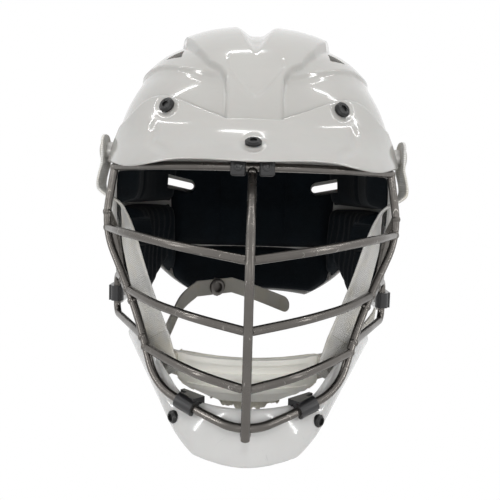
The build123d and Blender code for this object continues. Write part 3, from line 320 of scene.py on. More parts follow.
def shell_grid(inset, columns=360, rows=210):
    """Columns of points up the whole shell, from its edge to its crown."""
    at_edge, low = edge_columns(columns)
    even = np.linspace(0, 2, columns)
    t = np.linspace(0, 1, rows)[None, :]
    blend = smooth(0, 0.5, t)
    station = at_edge[:, None] * (1 - blend) + even[:, None] * blend
    low_q = angle_share(low)
    q = low_q[:, None] + (WIDEST + ANGLE_RUN - low_q[:, None]) * t
    half = dome(station, q)
    if inset:
        half = half - dome_normal(dome(station, q, proud=False)) * inset
    other = half[1:-1][::-1].copy()
    other[..., 0] *= -1
    return np.concatenate([half, other])


shell = sheet_object("shell_skin", stood(shell_grid(0)), stood(shell_grid(SHELL_WALL)),
                     closed=True, pole=True, lip=0.7)


def cut_away(obj, cutter):
    """Cuts a solid out of an object and removes it."""
    mod = obj.modifiers.new("cut", "BOOLEAN")
    mod.operation, mod.object, mod.solver = "DIFFERENCE", cutter, "EXACT"
    bpy.context.view_layer.update()
    done = bpy.data.meshes.new_from_object(obj.evaluated_get(bpy.context.evaluated_depsgraph_get()))
    obj.modifiers.remove(mod)
    obj.data = done
    bpy.data.objects.remove(cutter)


def prism(name, outline, place, depth):
    """Straight prism: a flat outline at a place, carried along its third direction."""
    origin, ax, ay, az = [np.array(v, float) for v in place]
    count = len(outline)
    verts = [stood(origin + ax * u + ay * v + az * d) for d in depth for u, v in outline]
    faces = [tuple(range(count))[::-1], tuple(range(count, 2 * count))]
    faces += [(k, (k + 1) % count, (k + 1) % count + count, k + count) for k in range(count)]
    return new_object(name, verts, faces, False)


def slot_outline(length, width, turn=0.0, steps=12):
    """Long hole with round ends, turned in its plane."""
    r, run = width / 2, (length - width) / 2
    end = [(run + r * math.cos(a), r * math.sin(a)) for a in np.linspace(-math.pi / 2, math.pi / 2, steps)]
    c, s = math.cos(turn), math.sin(turn)
    return [(u * c - v * s, u * s + v * c) for u, v in end + [(-u, -v) for u, v in end]]


EAR_HOLE_LENGTH, EAR_HOLE_WIDTH = 38, 24
EAR_HOLE_AT = (0, 6, 128)
BACK_VENT_LENGTH, BACK_VENT_WIDTH = 31, 6.5
BACK_VENT_SLOPE = math.radians(12)
BACK_VENT_X, BACK_VENT_Z = 75, 171
TOP_VENT = rounded([(-9, -1.2), (9, -1.2), (0, 10.6)], [1.4, 1.4, 1.4])
TOP_VENT_X, TOP_VENT_Y, TOP_VENT_Z = 56.5, -77, 255


def cut_ear_hole(obj):
    """Cuts both ear holes, straight across."""
    outline = slot_outline(EAR_HOLE_LENGTH, EAR_HOLE_WIDTH)
    cut_away(obj, prism("cut_ear", outline, (EAR_HOLE_AT, (0, 1, 0), (0, 0, 1), (1, 0, 0)), (-150, 150)))


def cut_back_vent(obj, side, margin=0.0):
    """Cuts the sloping slot at the back on one side, wider by a margin in the pads."""
    length, width = BACK_VENT_LENGTH + 2 * margin, BACK_VENT_WIDTH + 2 * margin
    outline = slot_outline(length, width, BACK_VENT_SLOPE * side)
    place = ((BACK_VENT_X * side, 0, BACK_VENT_Z), (1, 0, 0), (0, 0, 1), (0, 1, 0))
    cut_away(obj, prism("cut_back", outline, place, (60, 160)))


cut_ear_hole(shell)
for side in (-1, 1):
    cut_back_vent(shell, side)
    facing = ((0.7071 * side, 0.7071, 0), (-0.408 * side, 0.408, 0.816), (0.5774 * side, -0.5774, 0.5774))
    place = ((TOP_VENT_X * side, TOP_VENT_Y, TOP_VENT_Z), *facing)
    cut_away(shell, prism("cut_vent", TOP_VENT, place, (-12, 12)))


def fill(tree, made, inputs):
    """Links or sets inputs of a shader node."""
    for key, value in inputs.items():
        if hasattr(value, "is_output"):
            tree.links.new(value, made.inputs[key])
        else:
            made.inputs[key].default_value = value


def node(tree, kind, inputs=None, **props):
    """Shader node with its inputs linked or set."""
    made = tree.nodes.new(kind)
    for key, value in props.items():
        setattr(made, key, value)
    fill(tree, made, inputs or {})
    return made


def noise(tree, scale, detail, rough=0.5, place=None):
    """Noise value at a place, or at the point itself."""
    place = place or node(tree, "ShaderNodeNewGeometry").outputs["Position"]
    inputs = {"Vector": place, "Scale": scale, "Detail": detail, "Roughness": rough}
    return node(tree, "ShaderNodeTexNoise", inputs).outputs[0]


def spread(tree, value, low, high, start=0.0, end=1.0):
    """Value between low and high, spread from start to end."""
    inputs = {"Value": value, "From Min": low, "From Max": high, "To Min": start, "To Max": end}
    return node(tree, "ShaderNodeMapRange", inputs).outputs[0]


def mixed(tree, factor, a, b):
    """Colour between two colours."""
    return node(tree, "ShaderNodeMix", {0: factor, 6: a, 7: b}, data_type="RGBA").outputs[2]


def bumped(tree, bsdf, height, strength, distance):
    """Bumps a material by a height, on top of the bumps that it has."""
    bump = node(tree, "ShaderNodeBump", {"Height": height, "Strength": strength, "Distance": distance})
    normal = bsdf.inputs["Normal"]
    if normal.is_linked:
        tree.links.new(normal.links[0].from_socket, bump.inputs["Normal"])
    tree.links.new(bump.outputs[0], normal)


def group_of(name, outputs, build):
    """Shared node group that puts out colours, masks, values or normals only."""
    tree = bpy.data.node_groups.new(name, "ShaderNodeTree")
    for label in outputs:
        tree.interface.new_socket(label, in_out="OUTPUT", socket_type="NodeSocketFloat")
    build(tree, tree.nodes.new("NodeGroupOutput"))
    return tree


def build_marks(tree, end):
    """Handling marks: broad smudges, fine grain and thin scratches, as masks."""
    place = node(tree, "ShaderNodeNewGeometry").outputs["Position"]
    stretch = node(tree, "ShaderNodeMapping",
                   {"Vector": place, "Rotation": (0.4, 0.9, 0.6), "Scale": (1.0, 14.0, 1.0)})
    lines = noise(tree, 75.0, 3.0, 0.7, stretch.outputs[0])
    fill(tree, end, {"Smudge": spread(tree, noise(tree, 22.0, 5.0, 0.6), 0.35, 0.7),
                     "Scratch": spread(tree, lines, 0.66, 0.72),
                     "Grain": noise(tree, 900.0, 2.0)})


marks = group_of("handling_marks", ["Smudge", "Scratch", "Grain"], build_marks)


def material(name):
    """New material with its tree and its Principled shader."""
    mat = bpy.data.materials.new(name)
    mat.use_nodes = True
    tree = mat.node_tree
    tree.nodes.clear()
    bsdf = node(tree, "ShaderNodeBsdfPrincipled")
    node(tree, "ShaderNodeOutputMaterial", {0: bsdf.outputs[0]})
    return mat, tree, bsdf


def scaled(colour, share):
    """The colour made darker or lighter, with its alpha."""
    return (*[min(1, c * share) for c in colour], 1)


def gloss_plastic(name, colour, rough=0.1, coat=0.4, wear_share=0.94):
    """Moulded plastic with faint smudges, hairline scratches and a slight ripple."""
    mat, tree, bsdf = material(name)
    wear = node(tree, "ShaderNodeGroup", node_tree=marks)
    tint = mixed(tree, wear.outputs["Smudge"], (*colour, 1), scaled(colour, wear_share))
    tint = mixed(tree, wear.outputs["Scratch"], tint, scaled(colour, 0.86))
    fill(tree, bsdf, {"Base Color": tint,
                      "Roughness": spread(tree, wear.outputs["Smudge"], 0, 1, rough, rough + 0.08),
                      "Coat Weight": coat, "Coat Roughness": 0.04,
                      "Subsurface Weight": 0.03, "Subsurface Scale": 0.004})
    bumped(tree, bsdf, noise(tree, 60.0, 1.0), 0.05, 0.002)
    return mat


def dress(names, mat):
    """Gives carried-over nodes of the frame their own material."""
    for name in names:
        nodes[name].data.materials.clear()
        nodes[name].data.materials.append(mat)


def settle(obj, mat, body, replaces=()):
    """Gives a piece its material and the body that it moves with, and hides the carried-over nodes that it
    stands for.
    """
    obj.data.materials.clear()
    obj.data.materials.append(mat)
    if body:
        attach(obj, body)
    if replaces:
        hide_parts(*replaces)
    return obj


white_plastic = gloss_plastic("white_plastic", (0.475, 0.465, 0.442))
settle(shell, white_plastic, "helmet", ["shell"])

# Visor. A separate cap of moulded gloss white plastic over the brow, flared forward at its lip and
# held by three screws. Its crest is low in the middle and high at the side screws.
VISOR_WALL, VISOR_OUT = 3.0, 3.3
VISOR_FOOT, VISOR_HEIGHT = 181, 46
VISOR_REACH, VISOR_FULL = 31, 0.64
VISOR_BACK_Y = 84
VISOR_LIP = [(0, 181), (44.4, 182), (82, 178.4), (98.8, 182.2), (122, 182.5)]
VISOR_CREST = [(0, 208.4), (12, 208.3), (17.8, 208.2), (20.5, 209.4), (33, 214.2), (46.6, 220),
               (54, 223.2), (64, 224.4), (73.3, 222.0), (88.8, 209.5), (122, 194.8)]
MIDDLE_SCREW_Z = 192.5
SIDE_SCREW_X, SIDE_SCREW_Z = 57, 217.8
SEAT_DEPTH, SEAT_RADII = 0.7, (5.6, 8.6)
DIMPLE_DEPTH = 1.3


def hermite(knots, values, slopes, at):
    """Smooth value between knots that have these slopes."""
    i = np.clip(np.searchsorted(knots, at) - 1, 0, len(knots) - 2)
    h = knots[i + 1] - knots[i]
    t = np.clip((at - knots[i]) / h, 0, 1)
    return ((2 * t ** 3 - 3 * t ** 2 + 1) * values[i] + (t ** 3 - 2 * t ** 2 + t) * h * slopes[i]
            + (-2 * t ** 3 + 3 * t ** 2) * values[i + 1] + (t ** 3 - t ** 2) * h * slopes[i + 1])


def through(points, mirror=False):
    """Smooth even curve through points, mirrored about x = 0 if asked."""
    left = [(-x, z) for x, z in reversed(points) if x > 0] if mirror else []
    pts = np.array(left + list(points), float)
    slopes = np.gradient(pts[:, 1], pts[:, 0])
    return lambda at: hermite(pts[:, 0], pts[:, 1], slopes, at)


# Share of the full flare, by the share of the visor's height.
flare_curve = through([(-0.12, 1.22), (0.10, 0.80), (0.28, 0.40), (0.52, 0.08), (0.72, 0.01), (1.0, 0.0)])
visor_lip = through(VISOR_LIP, mirror=True)
visor_crest = through(VISOR_CREST, mirror=True)


def visor_flare(z, grow):
    """Reach of the visor in front at a height, and how full its plan is there."""
    flare = flare_curve((z - VISOR_FOOT) / VISOR_HEIGHT)
    return FRONT * share_at(z) + grow + VISOR_REACH * flare, FRONT_FULL + flare * (VISOR_FULL - FRONT_FULL)


def visor_plan(station, z, grow):
    """Plan point of the visor at a height."""
    front, full = visor_flare(z, grow)
    return plan(station, HALF * share_at(z) + grow, front, BACK * share_at(z) + grow, full)


def visor_relief(x, z):
    """Dimples at the corners of the visor and shallow seats round its screws."""
    ax = np.abs(x)
    tall = 1 - smooth(0.1, 1.0, np.hypot((ax - 65) / 5.5, (z - 198) / 11))
    across, up = ax - 57.5, z - 188.5
    along, aside = across * 0.9 + up * 0.45, up * 0.9 - across * 0.45
    low = 1 - smooth(0.1, 1.0, np.hypot(along / 11.5, aside / 4.6))
    dimple = DIMPLE_DEPTH * (tall + low - tall * low)
    side_seat = smooth(*SEAT_RADII, np.hypot(ax - SIDE_SCREW_X, z - SIDE_SCREW_Z))
    middle_seat = smooth(*SEAT_RADII, np.hypot(ax, (z - MIDDLE_SCREW_Z) * 1.15))
    return -dimple - SEAT_DEPTH * (2 - side_seat - middle_seat)


def visor_grid(inset, columns=260, rows=60):
    """Columns of points up the visor; each row ends where the plan reaches the visor's back."""
    c = np.linspace(-1, 1, columns)[:, None]
    t = np.linspace(0, 1, rows)[None, :]
    grow = VISOR_OUT - inset
    station = c * 0.75 + 0 * t
    z = 190 + 0 * station
    for _ in range(25):
        front, full = visor_flare(z, grow)
        low, high = np.zeros_like(z), np.ones_like(z)
        for _ in range(22):
            mid = (low + high) / 2
            y = front * (full * 3 * (1 - mid) ** 2 * mid + 3 * (1 - mid) * mid ** 2 + mid ** 3)
            short = y < VISOR_BACK_Y
            low, high = np.where(short, mid, low), np.where(short, high, mid)
        station = c * (1 - low)
        x, y = visor_plan(station, z, grow)
        z = visor_lip(x) * (1 - t) + visor_crest(x) * t
    x, y = visor_plan(station, z, grow)
    p = np.stack([x, y, z], -1)
    return p + unit(np.stack([x, y * 1.1, 60 + 0 * x], -1)) * visor_relief(x, z)[..., None]


visor = sheet_object("visor_skin", stood(visor_grid(0)), stood(visor_grid(VISOR_WALL)), lip=0.8)
settle(visor, white_plastic, "helmet", ["visor"])


# Screws and nuts. Black pan-head screws with hexagon sockets, turned from steel and blackened.
# They hold the visor and the clips; their plain nuts sit inside, behind the liner.
def worn_metal(name, colour, rough, metallic=1.0, light=None):
    """Metal with smudged tone, scratches worn bright and a fine grain."""
    mat, tree, bsdf = material(name)
    wear = node(tree, "ShaderNodeGroup", node_tree=marks)
    tint = mixed(tree, wear.outputs["Smudge"], (*colour, 1), scaled(colour, 0.72))
    bright = (*light, 1) if light else scaled(colour, 1.6)
    fill(tree, bsdf, {"Base Color": mixed(tree, wear.outputs["Scratch"], tint, bright),
                      "Roughness": spread(tree, wear.outputs["Smudge"], 0, 1, rough, rough + 0.14),
                      "Metallic": metallic})
    bumped(tree, bsdf, wear.outputs["Grain"], 0.12, 0.0004)
    return mat


black_screw = worn_metal("black_screw", (0.03, 0.03, 0.03), 0.32, 0.6, (0.25, 0.24, 0.23))
plain_steel = worn_metal("plain_steel", (0.5, 0.49, 0.47), 0.3)
dress(["visor_screws", "chin_screws", "side_screws"], black_screw)
dress(["visor_nuts", "side_nuts"], plain_steel)


# Liner. Black knit-covered foam pads side by side, held inside the shell by hook tape.
# Each is crowned, drawn in along its edges and shorter where the shell's edge rises.
def foam_cloth(name, colour, knit_scale=750.0, light=1.8):
    """Brushed knit over foam, uneven in tone, with small folds."""
    mat, tree, bsdf = material(name)
    place = node(tree, "ShaderNodeNewGeometry").outputs["Position"]
    knit = node(tree, "ShaderNodeTexVoronoi", {"Vector": place, "Scale": knit_scale}).outputs["Distance"]
    broad = noise(tree, 40.0, 6.0)
    tint = mixed(tree, knit, (*colour, 1), scaled(colour, light))
    tone = spread(tree, broad, 0.3, 0.7, 0.7, 1.35)
    lit = node(tree, "ShaderNodeVectorMath", {0: tint, "Scale": tone}, operation="SCALE").outputs[0]
    fill(tree, bsdf, {"Base Color": lit, "Roughness": 0.92, "Specular IOR Level": 0.2,
                      "Sheen Weight": 0.03, "Sheen Roughness": 0.4})
    bumped(tree, bsdf, knit, 0.5, 0.0006)
    bumped(tree, bsdf, broad, 0.35, 0.004)
    return mat


liner_cloth = foam_cloth("liner_cloth", (0.002, 0.0035, 0.005))
PAD_THICK, NAPE_THICK = 16.5, 11.5
PAD_TOP = 250
PAD_GAP, PAD_SKIN = 4.3, 4.4
# Lowest height of the pads by y, a little above the shell's edge.
PAD_EDGE = ([-140, -64, -27, -26, 34, 74, 110], [184, 177.5, 114, 73.5, 73.5, 98.5, 64])


def pad(name, start, end, low, high, thick, replaces, channels=(), columns=56, rows=40, wrinkle=0.0):
    """Crowned pad against the inside of the shell, drawn in along its edges."""
    a = np.linspace(-1, 1, columns)[:, None]
    b = np.linspace(-1, 1, rows)[None, :]
    corner = 1 - 0.045 * (a * a) * (b * b)
    station = (start + end) / 2 + (end - start) / 2 * a * corner
    station = np.where(station > 2, station - 4, station)
    y = section(station, 1.0)[1]
    foot = np.maximum(low, np.interp(y, *PAD_EDGE))
    z = (foot + high) / 2 + (high - foot) / 2 * b * corner
    body = np.clip((1 - np.abs(a) ** 7) * (1 - np.abs(b) ** 7), 0, 1) ** 0.38
    for channel in channels:
        body = body * (1 - 0.22 * np.exp(-((a - channel) * (end - start) * 45) ** 2 / 2))
    body = body * (1 + wrinkle * np.sin(a * 23 + 2 * np.sin(b * 3)) * (1 - b * b * 0.5))
    grids = []
    for inset in (PAD_GAP + 0 * body, PAD_SKIN + thick * (0.25 + 0.75 * body)):
        x, y = section(station, share_at(z, inset), inset)
        grids.append(stood(np.stack([x, y, z], -1)))
    obj = sheet_object(name, *grids, lip=0.75, lip_steps=4)
    settle(obj, liner_cloth, "helmet", replaces)
    return obj


cushions = [pad("brow_cushion", -0.585, 0.585, 182, PAD_TOP, PAD_THICK, ["brow_pad"],
                channels=(-0.35, 0.35)),
            pad("rear_cushion", 1.487, 2.513, 109.5, PAD_TOP, PAD_THICK, ["rear_pad"],
                channels=(-0.4, 0.4), columns=70),
            pad("nape_cushion", 1.487, 2.513, 65.5, 107.5, NAPE_THICK, ["nape_pad"], columns=70)]
for side, word in ((-1, "left"), (1, "right")):
    start, end = sorted((side * 0.60, side * 1.474))
    cushions.append(pad(f"side_cushion_{word}", start, end, 153, PAD_TOP, PAD_THICK, [f"side_pad_{word}"],
                        channels=(0.1,)))
    start, end = sorted((side * 0.972, side * 1.46))
    cushions.append(pad(f"ear_cushion_{word}", start, end, 73.5, 150, PAD_THICK, ["ear_pads"],
                        wrinkle=0.05))
    cut_ear_hole(cushions[-1])
    cut_back_vent(cushions[-2], side, 3.2)
    cut_back_vent(cushions[1], side, 3.2)

# Crown cushion. The domed foam pad under the top of the dome, covered in the same black knit.
# It is thick in the middle, with a seam a little above its drawn-in rim.
CROWN_FOOT = 243
CROWN_DEPTH = 27.0
around = np.linspace(-2, 2, 121)[:-1, None]
rise = np.linspace(0, 1, 34)[None, :]
q = CROWN_FOOT + (WIDEST + ANGLE_RUN - CROWN_FOOT) * rise + 0 * around
crowned = np.clip(1 - (1 - rise) ** 5, 0, 1) ** 0.4 * (1 - 0.12 * np.exp(-((rise - 0.3) * 22) ** 2))
grids = [dome(around + 0 * rise, q, inset, proud=False) for inset in (PAD_SKIN, CROWN_DEPTH)]
thin = 0.3 + 0.7 * crowned
grids[1] = grids[0] + (grids[1] - grids[0]) * thin[..., None]
crown_cushion = sheet_object("crown_cushion", stood(grids[0]), stood(grids[1]),
                             closed=True, pole=True, lip=0.8)
cushions.append(settle(crown_cushion, liner_cloth, "helmet", ["crown_pad"]))

# Wire mask. Dark worn steel wires of one thickness, bent to the face and welded to each other.
# The carried-over wires keep their form; small uneven weld beads are added at their joints.
wire_steel = worn_metal("wire_steel", (0.16, 0.149, 0.138), 0.2, 0.95, (0.5, 0.48, 0.45))
WIRES = ["mask_top_bar", "mask_rim", "mask_centre_bar", "mask_upper_bar", "mask_middle_bar",
         "mask_lower_bar", "mask_side_wires", "mask_side_loops"]
dress(WIRES, wire_steel)

# Joints of the wires on the right and in the middle; those off the middle are repeated on the left.
WELDS = [(99.3, -95.0, 136.2), (82.2, -109.6, 95.9), (66.6, -127.4, 61.0), (0, -182, 124.9),
         (0, -182.2, 84.3), (0, -182.2, 50.7), (99.9, -94, 147), (78.4, -113.3, 88.6), (93.2, -71.5, 97),
         (69.2, -124.4, 66.8), (95.4, -92.3, 177.6), (0, -147.5, 175.2), (0, -175, 22.4)]
BEAD_RADIUS = 0.0032


def weld_bead(bm, middle, seed):
    """Uneven blob of weld metal round a joint."""
    made = bmesh.ops.create_icosphere(bm, subdivisions=3, radius=BEAD_RADIUS)["verts"]
    for vert in made:
        d = vert.co.normalized()
        wave = math.sin(d.x * 7 + seed) * math.sin(d.y * 8 + seed * 2) * math.sin(d.z * 6 + seed * 3)
        vert.co = vert.co * (1 + 0.07 * wave) + Vector(middle)


bm = bmesh.new()
for seed, (x, y, z) in enumerate(WELDS):
    for turn in (-1, 1) if x else (1,):
        weld_bead(bm, stood([x * turn, y, z]), seed * 1.7)
settle(built("weld_beads", bm), wire_steel, "helmet")

# Clips of the mask. Moulded black nylon sleeves on the wires, screwed to visor, guard and ear flaps.
# The top one is a block behind the visor with two thick sleeves beside the centre bar.
black_plastic = gloss_plastic("black_plastic", (0.012, 0.012, 0.013), 0.28, 0.2, 0.8)
dress(["chin_clips", "side_clips"], black_plastic)


def rounded_box(bm, low, high, radius=1.0):
    """Block between two corners in the level helmet, with its edges rounded."""
    low, high = np.array(low, float), np.array(high, float)
    made = bmesh.ops.create_cube(bm, size=1.0)["verts"]
    for vert in made:
        vert.co = Vector((low + high) / 2 + np.array(vert.co) * (high - low))
    edges = list(dict.fromkeys(edge for vert in made for edge in vert.link_edges))
    bmesh.ops.bevel(bm, geom=edges, offset=radius, segments=3, affect="EDGES", profile=0.6)


def turned_piece(bm, middle, axis, profile, steps=32):
    """Round piece turned from rows of radius and height along an axis."""
    axis = unit(axis)
    first = unit(np.cross(axis, [0.3, 0.2, 0.9]))
    second = np.cross(axis, first)
    rings = [[bm.verts.new(Vector(middle + axis * h + (first * math.cos(a) + second * math.sin(a)) * r))
              for a in np.linspace(0, 2 * math.pi, steps, endpoint=False)] for r, h in profile]
    for low, high in zip(rings, rings[1:]):
        for k in range(steps):
            bm.faces.new((low[k], low[(k + 1) % steps], high[(k + 1) % steps], high[k]))
    bm.faces.new(rings[0][::-1])
    bm.faces.new(rings[-1])


def piece_of(name, bm, sharp=35):
    """Object of level millimetres in this mesh, stood up, with its sharp edges kept."""
    for vert in bm.verts:
        vert.co = Vector(stood(np.array(vert.co)))
    bmesh.ops.recalc_face_normals(bm, faces=bm.faces)
    obj = built(name, bm)
    obj.data.set_sharp_from_angle(angle=math.radians(sharp))
    return obj


SLEEVE_X, SLEEVE_HALF = 8.7, 4.8
CLIP_SCREW = [(3.3, 0), (3.3, 0.7), (2.7, 1.1), (1.5, 1.1), (1.2, 0.5)]
bm = bmesh.new()
rounded_box(bm, (-12, -146.5, 184.3), (12, -131.5, 191.0), 1.2)
for side in (-1, 1):
    x = side * SLEEVE_X
    rounded_box(bm, (x - SLEEVE_HALF, -151.6, 172.4), (x + SLEEVE_HALF, -141.2, 184.6), 2.2)
    turned_piece(bm, np.array([x, -151.2, 178.4]), (0, -1, 0.05), CLIP_SCREW)
top_clip = piece_of("top_clip_block", bm)
settle(top_clip, black_plastic, "helmet", ["top_clip"])

# Chin guard. A bent band of gloss white plastic under the mask, with a bellied wall and rounded rims.
# Its foot and head curves are shares of its half width, reach and height; the helmet stands on it.
GUARD_SPAN = [91, -166, 101]
GUARD_BELLY, GUARD_WALL, GUARD_LIFT = 3.5, 3.2, 1.95
GUARD_FOOT = [(0.0, 1.03, -0.025), (0.28, 0.985, 0.01), (0.475, 0.885, 0.10), (0.625, 0.74, 0.225),
              (0.775, 0.554, 0.33), (0.925, 0.361, 0.45)]
GUARD_HEAD = [(0.0, 1.0, 0.32), (0.252, 0.943, 0.31), (0.47, 0.858, 0.33), (0.62, 0.796, 0.47),
              (0.835, 0.60, 0.61), (0.97, 0.405, 0.60)]


def guard_curve(shares):
    """Smooth row of points along the guard, through both halves."""
    half = np.array(shares) * GUARD_SPAN
    row = np.concatenate([half[:0:-1] * [-1, 1, 1], half])
    knots = np.arange(len(row)) - (len(row) - 1) / 2
    slopes = np.gradient(row, axis=0)
    at = np.linspace(knots[0], knots[-1], 220)
    return np.stack([hermite(knots, row[:, k], slopes[:, k], at) for k in range(3)], -1)


foot, head = guard_curve(GUARD_FOOT), guard_curve(GUARD_HEAD)
along = np.gradient((foot + head) / 2, axis=0)
outward = unit(np.stack([along[:, 1], -along[:, 0], 0 * along[:, 0]], -1))
t = np.linspace(0, 1, 26)[None, :, None]
face = foot[:, None] * (1 - t) + head[:, None] * t + outward[:, None] * GUARD_BELLY * (4 * t * (1 - t))
face[..., 2] = np.maximum(face[..., 2], ground(face[..., 1]) + GUARD_LIFT)
inside = face - outward[:, None] * GUARD_WALL
guard = sheet_object("guard_skin", stood(face), stood(inside), lip=1.0, lip_steps=5)
guard_plastic = gloss_plastic("guard_plastic", (0.62, 0.615, 0.60))
settle(guard, guard_plastic, "helmet", ["chin_guard"])

# Snap fasteners and rivets. Dull plated studs on the shell and rivets in the cup, turned from steel,
# and moulded grey sockets on the high straps, which press onto the studs.
grey_plastic = gloss_plastic("grey_plastic", (0.50, 0.48, 0.43), 0.3, 0.2)
dress(["high_snap_studs", "low_snap_studs", "cup_rivets"], plain_steel)
dress(["high_snap_sockets"], grey_plastic)

# Chin cup. A thin moulded off-white cup with ribs across it, lined with a pad of brushed fabric.
# The pad is crowned inside the cup; below it a torn flap hangs out with two hollows in it.
cup_white = gloss_plastic("cup_white", (0.88, 0.865, 0.80), 0.42, 0.0, 0.92)
dress(["chin_cup"], cup_white)
brushed = foam_cloth("brushed_fabric", (0.78, 0.75, 0.66), 420.0, 1.2)

CUP_AXIS_Y = -53
CUP_PAD_TOP = 53.6
CUP_PAD_TURN = np.radians(41.5)
CUP_PAD_RADIUS = ([12, 18, 23.5, 34, 60], [65.5, 64.0, 61.8, 71.4, 71.5])
CUP_PAD_THICK = ([17, 24, 34, 60], [3.0, 5.0, 10.0, 10.0])
HOLLOW_DEPTH, HOLLOW_TURN = 3.2, 0.52
turn = np.linspace(-1, 1, 130)[:, None]
up = np.linspace(0, 1, 60)[None, :]
fuzz = np.random.default_rng(7).normal(0, 1, (130, 60))
ragged = 0.8 * np.sin(turn * 23) + 0.5 * np.sin(turn * 61 + 1) + 0.35 * fuzz[:, :1]
low = 17.5 + 13.5 * np.abs(turn) ** 1.6 + ragged
height = low + (CUP_PAD_TOP - low) * up
hollows = np.exp(-((np.abs(turn) - HOLLOW_TURN) / 0.15) ** 2)
hollows = hollows * np.exp(-((height - 24 - 5 * turn * turn) / 3.4) ** 2)
outer = np.interp(height, *CUP_PAD_RADIUS) - HOLLOW_DEPTH * hollows + 0.22 * fuzz
body = np.clip((1 - np.abs(turn) ** 6) * (1 - (2 * up - 1) ** 6), 0, 1) ** 0.4
thick = np.interp(height, *CUP_PAD_THICK) * (0.3 + 0.7 * body) + 0.3 * fuzz * body
angle = CUP_PAD_TURN * turn + 0 * up
grids = [stood(np.stack([r * np.sin(angle), CUP_AXIS_Y - r * np.cos(angle), height], -1))
         for r in (outer, outer - thick)]
cup_pad = sheet_object("cup_cushion", *grids, lip=0.8, lip_steps=4)
settle(cup_pad, brushed, "chin_strap", ["chin_cup_pad"])


# Chin straps. White woven webbing to the temples and narrow grey-beige straps to the nape.
# Each follows the drawing's stations, with thick selvages, stitching and rounded tips.
HIGH_WIDTH, LOW_WIDTH = 25, 15
STRAP_THICK = 1.8
STITCH_STEP = 2.6


def webbing(name, colour, rib=1.3):
    """Plain weave along and across the strap, soiled unevenly."""
    mat, tree, bsdf = material(name)
    cloth = node(tree, "ShaderNodeUVMap", uv_map="weave").outputs[0]
    inputs = {"Vector": cloth, "Scale": 0.314 / rib, "Distortion": 0.6, "Detail": 1.0}
    waves = [node(tree, "ShaderNodeTexWave", inputs, bands_direction=way).outputs[1] for way in ("X", "Y")]
    weave = node(tree, "ShaderNodeMath", {0: waves[0], 1: waves[1]}, operation="MULTIPLY").outputs[0]
    grime = spread(tree, noise(tree, 55.0, 6.0, 0.7), 0.45, 0.75)
    base = mixed(tree, weave, scaled(colour, 0.74), (*colour, 1))
    soiled = (colour[0] * 0.82, colour[1] * 0.78, colour[2] * 0.68, 1)
    tint = mixed(tree, grime, base, soiled)
    fill(tree, bsdf, {"Base Color": tint, "Roughness": 0.85, "Sheen Weight": 0.15})
    bumped(tree, bsdf, weave, 0.6, 0.0005)
    return mat


def curve_through(points, steps):
    """Catmull-Rom curve with this many steps from point to point, and the place along it."""
    pts = np.array(points, float)
    out = []
    for i in range(len(pts) - 1):
        before, start, end, after = [pts[min(max(i + k, 0), len(pts) - 1)] for k in (-1, 0, 1, 2)]
        for t in np.linspace(0, 1, steps, endpoint=i == len(pts) - 2):
            p = 0.5 * (2 * start + (end - before) * t + (2 * before - 5 * start + 4 * end - after) * t * t
                       + (3 * start - before - 3 * end + after) * t ** 3)
            out.append((p, i + t))
    return out


def rows_of(points, across, steps=14):
    """Rows of middle, direction across and width share along a smooth curve."""
    turned = np.array([unit(v) for v in across])
    rows = []
    for p, at in curve_through(points, steps):
        i = min(int(at), len(points) - 2)
        rows.append((p, unit(turned[i] * (1 - at + i) + turned[i + 1] * (at - i)), 1.0))
    return rows


def tip(end, direction, across, length=7.0):
    """Rows of a rounded tip after the last full one."""
    return [(end + direction * length * s, across, math.sqrt(max(1 - (s * 1.02) ** 2.4, 0.05)))
            for s in np.linspace(0.12, 0.96, 9)]


def band(name, rows, width):
    """Flat strap through rows, with rounded and slightly thicker edges."""
    middle = np.array([row[0] for row in rows])
    share = np.array([row[2] for row in rows])
    gap = np.linalg.norm(np.diff(middle, axis=0), axis=1)
    run = np.concatenate([[0], np.cumsum(gap)])
    along = unit(np.gradient(middle, axis=0))
    across = unit(np.array([row[1] for row in rows]))
    face = unit(np.cross(along, across))
    flat = np.linspace(-0.94, 0.94, 12)
    lift = 0.5 * STRAP_THICK * (0.9 + 0.1 * smooth(0.7, 0.9, np.abs(flat)))
    side = [(0.985, 0.36 * STRAP_THICK), (1.0, 0.0), (0.985, -0.36 * STRAP_THICK)]
    loop = list(zip(flat, lift)) + side + list(zip(flat[::-1], -lift[::-1])) + [(-u, -v) for u, v in side]
    rings = np.stack([middle + across * (u * width / 2 * share)[:, None] + face * v for u, v in loop], 1)
    count, size = len(rows), len(loop)
    faces = [(i * size + k, i * size + (k + 1) % size, (i + 1) * size + (k + 1) % size, (i + 1) * size + k)
             for i in range(count - 1) for k in range(size)]
    faces += [tuple(range(size))[::-1], tuple(range((count - 1) * size, count * size))]
    obj = new_object(name, stood(rings.reshape(-1, 3)), faces)
    cloth = obj.data.uv_layers.new(name="weave")
    for corner in obj.data.loops:
        i, k = divmod(corner.vertex_index, size)
        cloth.data[corner.index].uv = (loop[k][0] * width / 2, run[i])
    return obj, middle, across, face


def stitches(name, lines, mat, body):
    """Rows of short sewn stitches: each line is a start, an end and the direction off the cloth."""
    bm = bmesh.new()
    for start, end, off in lines:
        start, end, off = np.array(start), np.array(end), unit(off)
        length = np.linalg.norm(end - start)
        along = (end - start) / length
        aside = np.cross(along, off)
        for k in range(int(length / STITCH_STEP)):
            middle = start + along * (k + 0.5) * STITCH_STEP + off * 0.12
            made = bmesh.ops.create_icosphere(bm, subdivisions=2, radius=1.0)["verts"]
            for vert in made:
                p = middle + along * vert.co.x * 0.95 + aside * vert.co.y * 0.3 + off * vert.co.z * 0.26
                vert.co = Vector(stood(p))
    settle(built(name, bm), mat, body)


